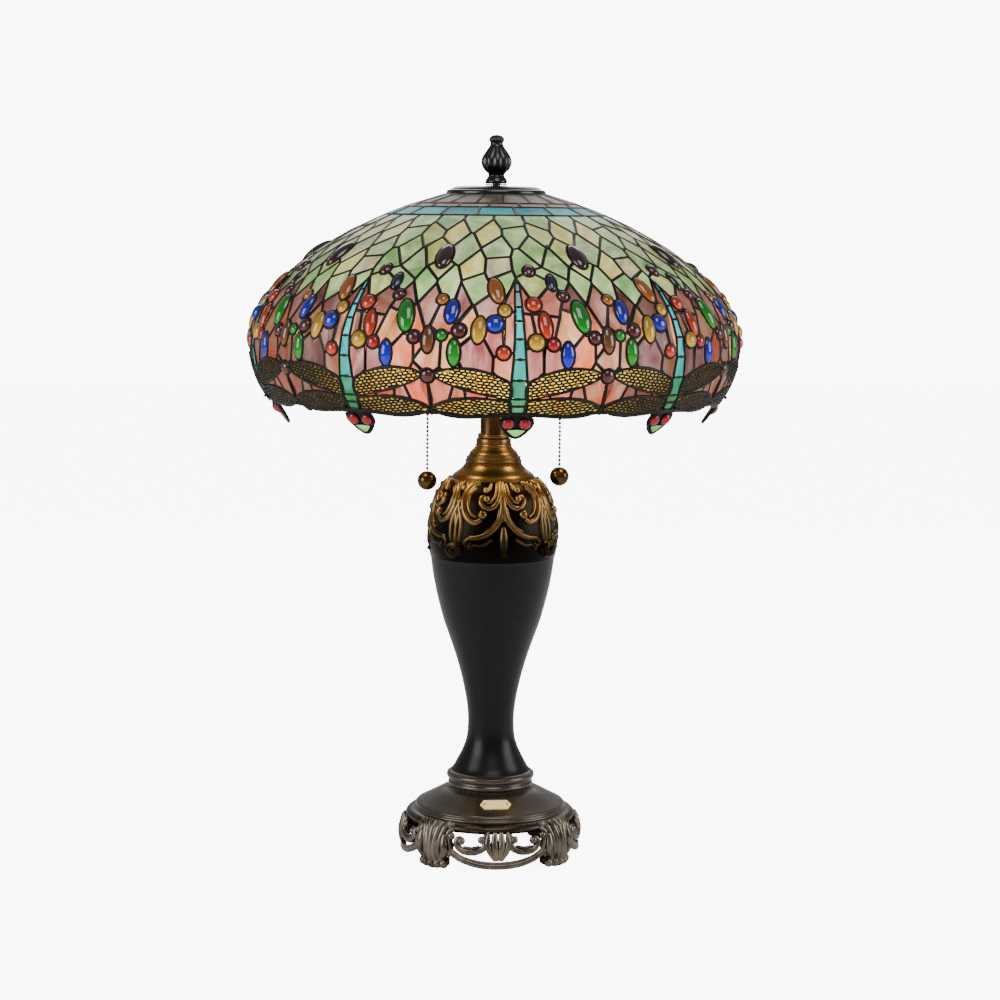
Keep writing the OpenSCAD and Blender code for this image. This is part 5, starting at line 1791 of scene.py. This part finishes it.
def add_camera():
    """Camera in front of the lamp, aimed a little below its middle."""
    azimuth, elevation = math.radians(CAMERA_AZIMUTH), math.radians(CAMERA_ELEVATION)
    right = Vector((math.cos(azimuth), math.sin(azimuth), 0))
    aim = Vector((0, 0, AIM_HEIGHT)) + right * AIM_RIGHT
    away = Vector((math.cos(elevation) * math.sin(azimuth), -math.cos(elevation) * math.cos(azimuth),
                   math.sin(elevation)))
    bpy.ops.object.camera_add(location=aim + away * sizes().camera_distance)
    camera = bpy.context.object
    camera.data.lens = 90
    camera.data.sensor_width = 36
    camera.rotation_mode = "QUATERNION"
    turn = (-away).to_track_quat("-Z", "Y")
    camera.rotation_quaternion = turn @ Quaternion((0, 0, 1), math.radians(CAMERA_ROLL))
    bpy.context.scene.camera = camera


def add_floor():
    """Pale floor under the lamp."""
    bpy.ops.mesh.primitive_plane_add(size=14, location=(0, 0, 0))
    floor = bpy.context.object
    floor.name = "floor"
    floor.data.materials.append(FINISH["floor"])


def add_sky():
    """White backdrop that is brighter to the camera than to the lamp."""
    world = bpy.data.worlds.new("studio")
    bpy.context.scene.world = world
    world.use_nodes = True
    sky = world.node_tree
    seen = node(sky, "ShaderNodeLightPath")
    bright = node(sky, "ShaderNodeMath", {0: seen.outputs["Is Camera Ray"], 1: 9.0, 2: 0.34},
                  operation="MULTIPLY_ADD")
    feed(sky, sky.nodes["Background"], {"Strength": bright.outputs[0], "Color": (1, 1, 1, 1)})


def add_lights():
    """Soft boxes round the lamp, and a warm glow in front of each bulb."""
    for name, where, size, power in LIGHT_BOXES:
        bpy.ops.object.light_add(type="AREA", location=where)
        light = bpy.context.object
        light.name = name
        light.data.size = size
        light.data.energy = power
        light.rotation_euler = (Vector((0, 0, 0.4)) - Vector(where)).to_track_quat("-Z", "Y").to_euler()
    for side in ("left_", "right_"):
        middle = (low(side + "bulb_glass") + high(side + "bulb_glass")) / 2
        bpy.ops.object.light_add(type="POINT", location=middle + Vector((0, -0.045, -0.02)))
        lamp = bpy.context.object
        lamp.name = side + "glow"
        lamp.data.energy = 0.7
        lamp.data.color = (1.0, 0.74, 0.42)
        lamp.data.shadow_soft_size = 0.03


def build_stage():
    """Camera, pale floor and soft light."""
    rest()
    add_camera()
    add_floor()
    add_sky()
    add_lights()


# ---------------------------------------------------------------- finishes on CAD nodes


def dress_nodes():
    """Gives every CAD node that stays visible its finish."""
    finishes = {
        "ballast_plate": "iron", "base_washer": "steel", "base_nut": "brass", "foot_pads": "felt",
        "lamp_pipe": "brass", "name_plate": "plate", "name_plate_pins": "brass", "cord_bushing": "moulded",
        "cluster_body": "neck", "cluster_cap": "neck", "riser_rod": "brass", "shade_seat": "brass",
        "finial_washer": "black", "crown_ring": "black"}
    for side in ("left_", "right_"):
        finishes.update({
            side + "socket_cap": "neck", side + "socket_shell": "brass", side + "socket_liner": "fibre",
            side + "screw_shell": "brass", side + "switch_body": "moulded", side + "chain_bell": "chain",
            side + "switch_rotor": "brass", side + "chain_slider": "chain", side + "pull_chain": "chain",
            side + "pull_ball": "ball", side + "bulb_base": "steel", side + "bulb_glass": "bulb"})
    for name, finish in finishes.items():
        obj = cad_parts[name]
        obj.data.materials.clear()
        obj.data.materials.append(FINISH[finish])


# ---------------------------------------------------------------- operators


class LAMP_OT_finishes(bpy.types.Operator):
    """Make the materials"""

    bl_idname = "lamp.finishes"
    bl_label = "Finishes"
    bl_options = {"REGISTER", "UNDO"}

    def execute(self, context):
        build_finishes()
        return {"FINISHED"}


class LAMP_OT_stage(bpy.types.Operator):
    """Add the camera, the floor and the lights"""

    bl_idname = "lamp.stage"
    bl_label = "Stage"
    bl_options = {"REGISTER", "UNDO"}

    def execute(self, context):
        build_stage()
        return {"FINISHED"}


class LAMP_OT_shade_glass(bpy.types.Operator):
    """Add the leaded sheet glass"""

    bl_idname = "lamp.shade_glass"
    bl_label = "Shade glass"
    bl_options = {"REGISTER", "UNDO"}

    def execute(self, context):
        build_shade_glass()
        return {"FINISHED"}


class LAMP_OT_jewels(bpy.types.Operator):
    """Add the pressed jewels"""

    bl_idname = "lamp.jewels"
    bl_label = "Jewels"
    bl_options = {"REGISTER", "UNDO"}

    def execute(self, context):
        build_jewels()
        return {"FINISHED"}


class LAMP_OT_wings(bpy.types.Operator):
    """Add the dragonflies' wings"""

    bl_idname = "lamp.wings"
    bl_label = "Wings"
    bl_options = {"REGISTER", "UNDO"}

    def execute(self, context):
        build_wings()
        return {"FINISHED"}


class LAMP_OT_bodies(bpy.types.Operator):
    """Add the dragonflies' bodies"""

    bl_idname = "lamp.bodies"
    bl_label = "Bodies"
    bl_options = {"REGISTER", "UNDO"}

    def execute(self, context):
        build_bodies()
        return {"FINISHED"}


class LAMP_OT_heads(bpy.types.Operator):
    """Add the hanging heads"""

    bl_idname = "lamp.heads"
    bl_label = "Heads"
    bl_options = {"REGISTER", "UNDO"}

    def execute(self, context):
        build_heads()
        return {"FINISHED"}


class LAMP_OT_rim(bpy.types.Operator):
    """Add the wire at the rim"""

    bl_idname = "lamp.rim"
    bl_label = "Rim"
    bl_options = {"REGISTER", "UNDO"}

    def execute(self, context):
        build_rim()
        return {"FINISHED"}


class LAMP_OT_cap(bpy.types.Operator):
    """Add the vented cap"""

    bl_idname = "lamp.cap"
    bl_label = "Cap"
    bl_options = {"REGISTER", "UNDO"}

    def execute(self, context):
        build_cap()
        return {"FINISHED"}


class LAMP_OT_finial(bpy.types.Operator):
    """Add the fluted finial"""

    bl_idname = "lamp.finial"
    bl_label = "Finial"
    bl_options = {"REGISTER", "UNDO"}

    def execute(self, context):
        build_finial()
        return {"FINISHED"}


class LAMP_OT_stem(bpy.types.Operator):
    """Add the stem and the neck"""

    bl_idname = "lamp.stem"
    bl_label = "Stem"
    bl_options = {"REGISTER", "UNDO"}

    def execute(self, context):
        build_stem()
        return {"FINISHED"}


class LAMP_OT_urn(bpy.types.Operator):
    """Add the urn and the ring moulding"""

    bl_idname = "lamp.urn"
    bl_label = "Urn"
    bl_options = {"REGISTER", "UNDO"}

    def execute(self, context):
        build_urn()
        return {"FINISHED"}


class LAMP_OT_plinth(bpy.types.Operator):
    """Add the plinth"""

    bl_idname = "lamp.plinth"
    bl_label = "Plinth"
    bl_options = {"REGISTER", "UNDO"}

    def execute(self, context):
        build_plinth()
        return {"FINISHED"}


class LAMP_OT_collar(bpy.types.Operator):
    """Add the cast scroll collar"""

    bl_idname = "lamp.collar"
    bl_label = "Collar"
    bl_options = {"REGISTER", "UNDO"}

    def execute(self, context):
        build_collar()
        return {"FINISHED"}


class LAMP_OT_foot(bpy.types.Operator):
    """Add the pierced foot"""

    bl_idname = "lamp.foot"
    bl_label = "Foot"
    bl_options = {"REGISTER", "UNDO"}

    def execute(self, context):
        build_foot()
        return {"FINISHED"}


class LAMP_OT_nodes(bpy.types.Operator):
    """Give the CAD pieces their finishes"""

    bl_idname = "lamp.nodes"
    bl_label = "Inner parts"
    bl_options = {"REGISTER", "UNDO"}

    def execute(self, context):
        dress_nodes()
        return {"FINISHED"}


STEPS = [LAMP_OT_finishes, LAMP_OT_stage, LAMP_OT_shade_glass, LAMP_OT_jewels,
         LAMP_OT_wings, LAMP_OT_bodies, LAMP_OT_heads, LAMP_OT_rim,
         LAMP_OT_cap, LAMP_OT_finial, LAMP_OT_stem, LAMP_OT_urn,
         LAMP_OT_plinth, LAMP_OT_collar, LAMP_OT_foot, LAMP_OT_nodes]


class LAMP_PT_panel(bpy.types.Panel):
    """Lists the steps that build the lamp"""

    bl_idname = "LAMP_PT_panel"
    bl_label = "Dragonfly lamp"
    bl_space_type = "VIEW_3D"
    bl_region_type = "UI"
    bl_category = "Lamp"

    def draw(self, context):
        for step in STEPS:
            self.layout.operator(step.bl_idname)
        for values in (context.scene.lamp_sizes, context.scene.lamp_colours):
            for key in values.__annotations__:
                self.layout.prop(values, key)


CLASSES = [LampSizes, LampColours] + STEPS + [LAMP_PT_panel]


def register():
    """Registers the classes and hangs the sizes and colours on the scene."""
    for cls in CLASSES:
        bpy.utils.register_class(cls)
    bpy.types.Scene.lamp_sizes = PointerProperty(type=LampSizes)
    bpy.types.Scene.lamp_colours = PointerProperty(type=LampColours)


def unregister():
    """Takes away what register added."""
    del bpy.types.Scene.lamp_colours
    del bpy.types.Scene.lamp_sizes
    for cls in reversed(CLASSES):
        bpy.utils.unregister_class(cls)


def main():
    """Registers the add-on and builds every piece."""
    register()
    for step in STEPS:
        name = step.bl_idname.split(".")[1]
        getattr(bpy.ops.lamp, name)()
    rest()


if __name__ == "__main__":
    main()
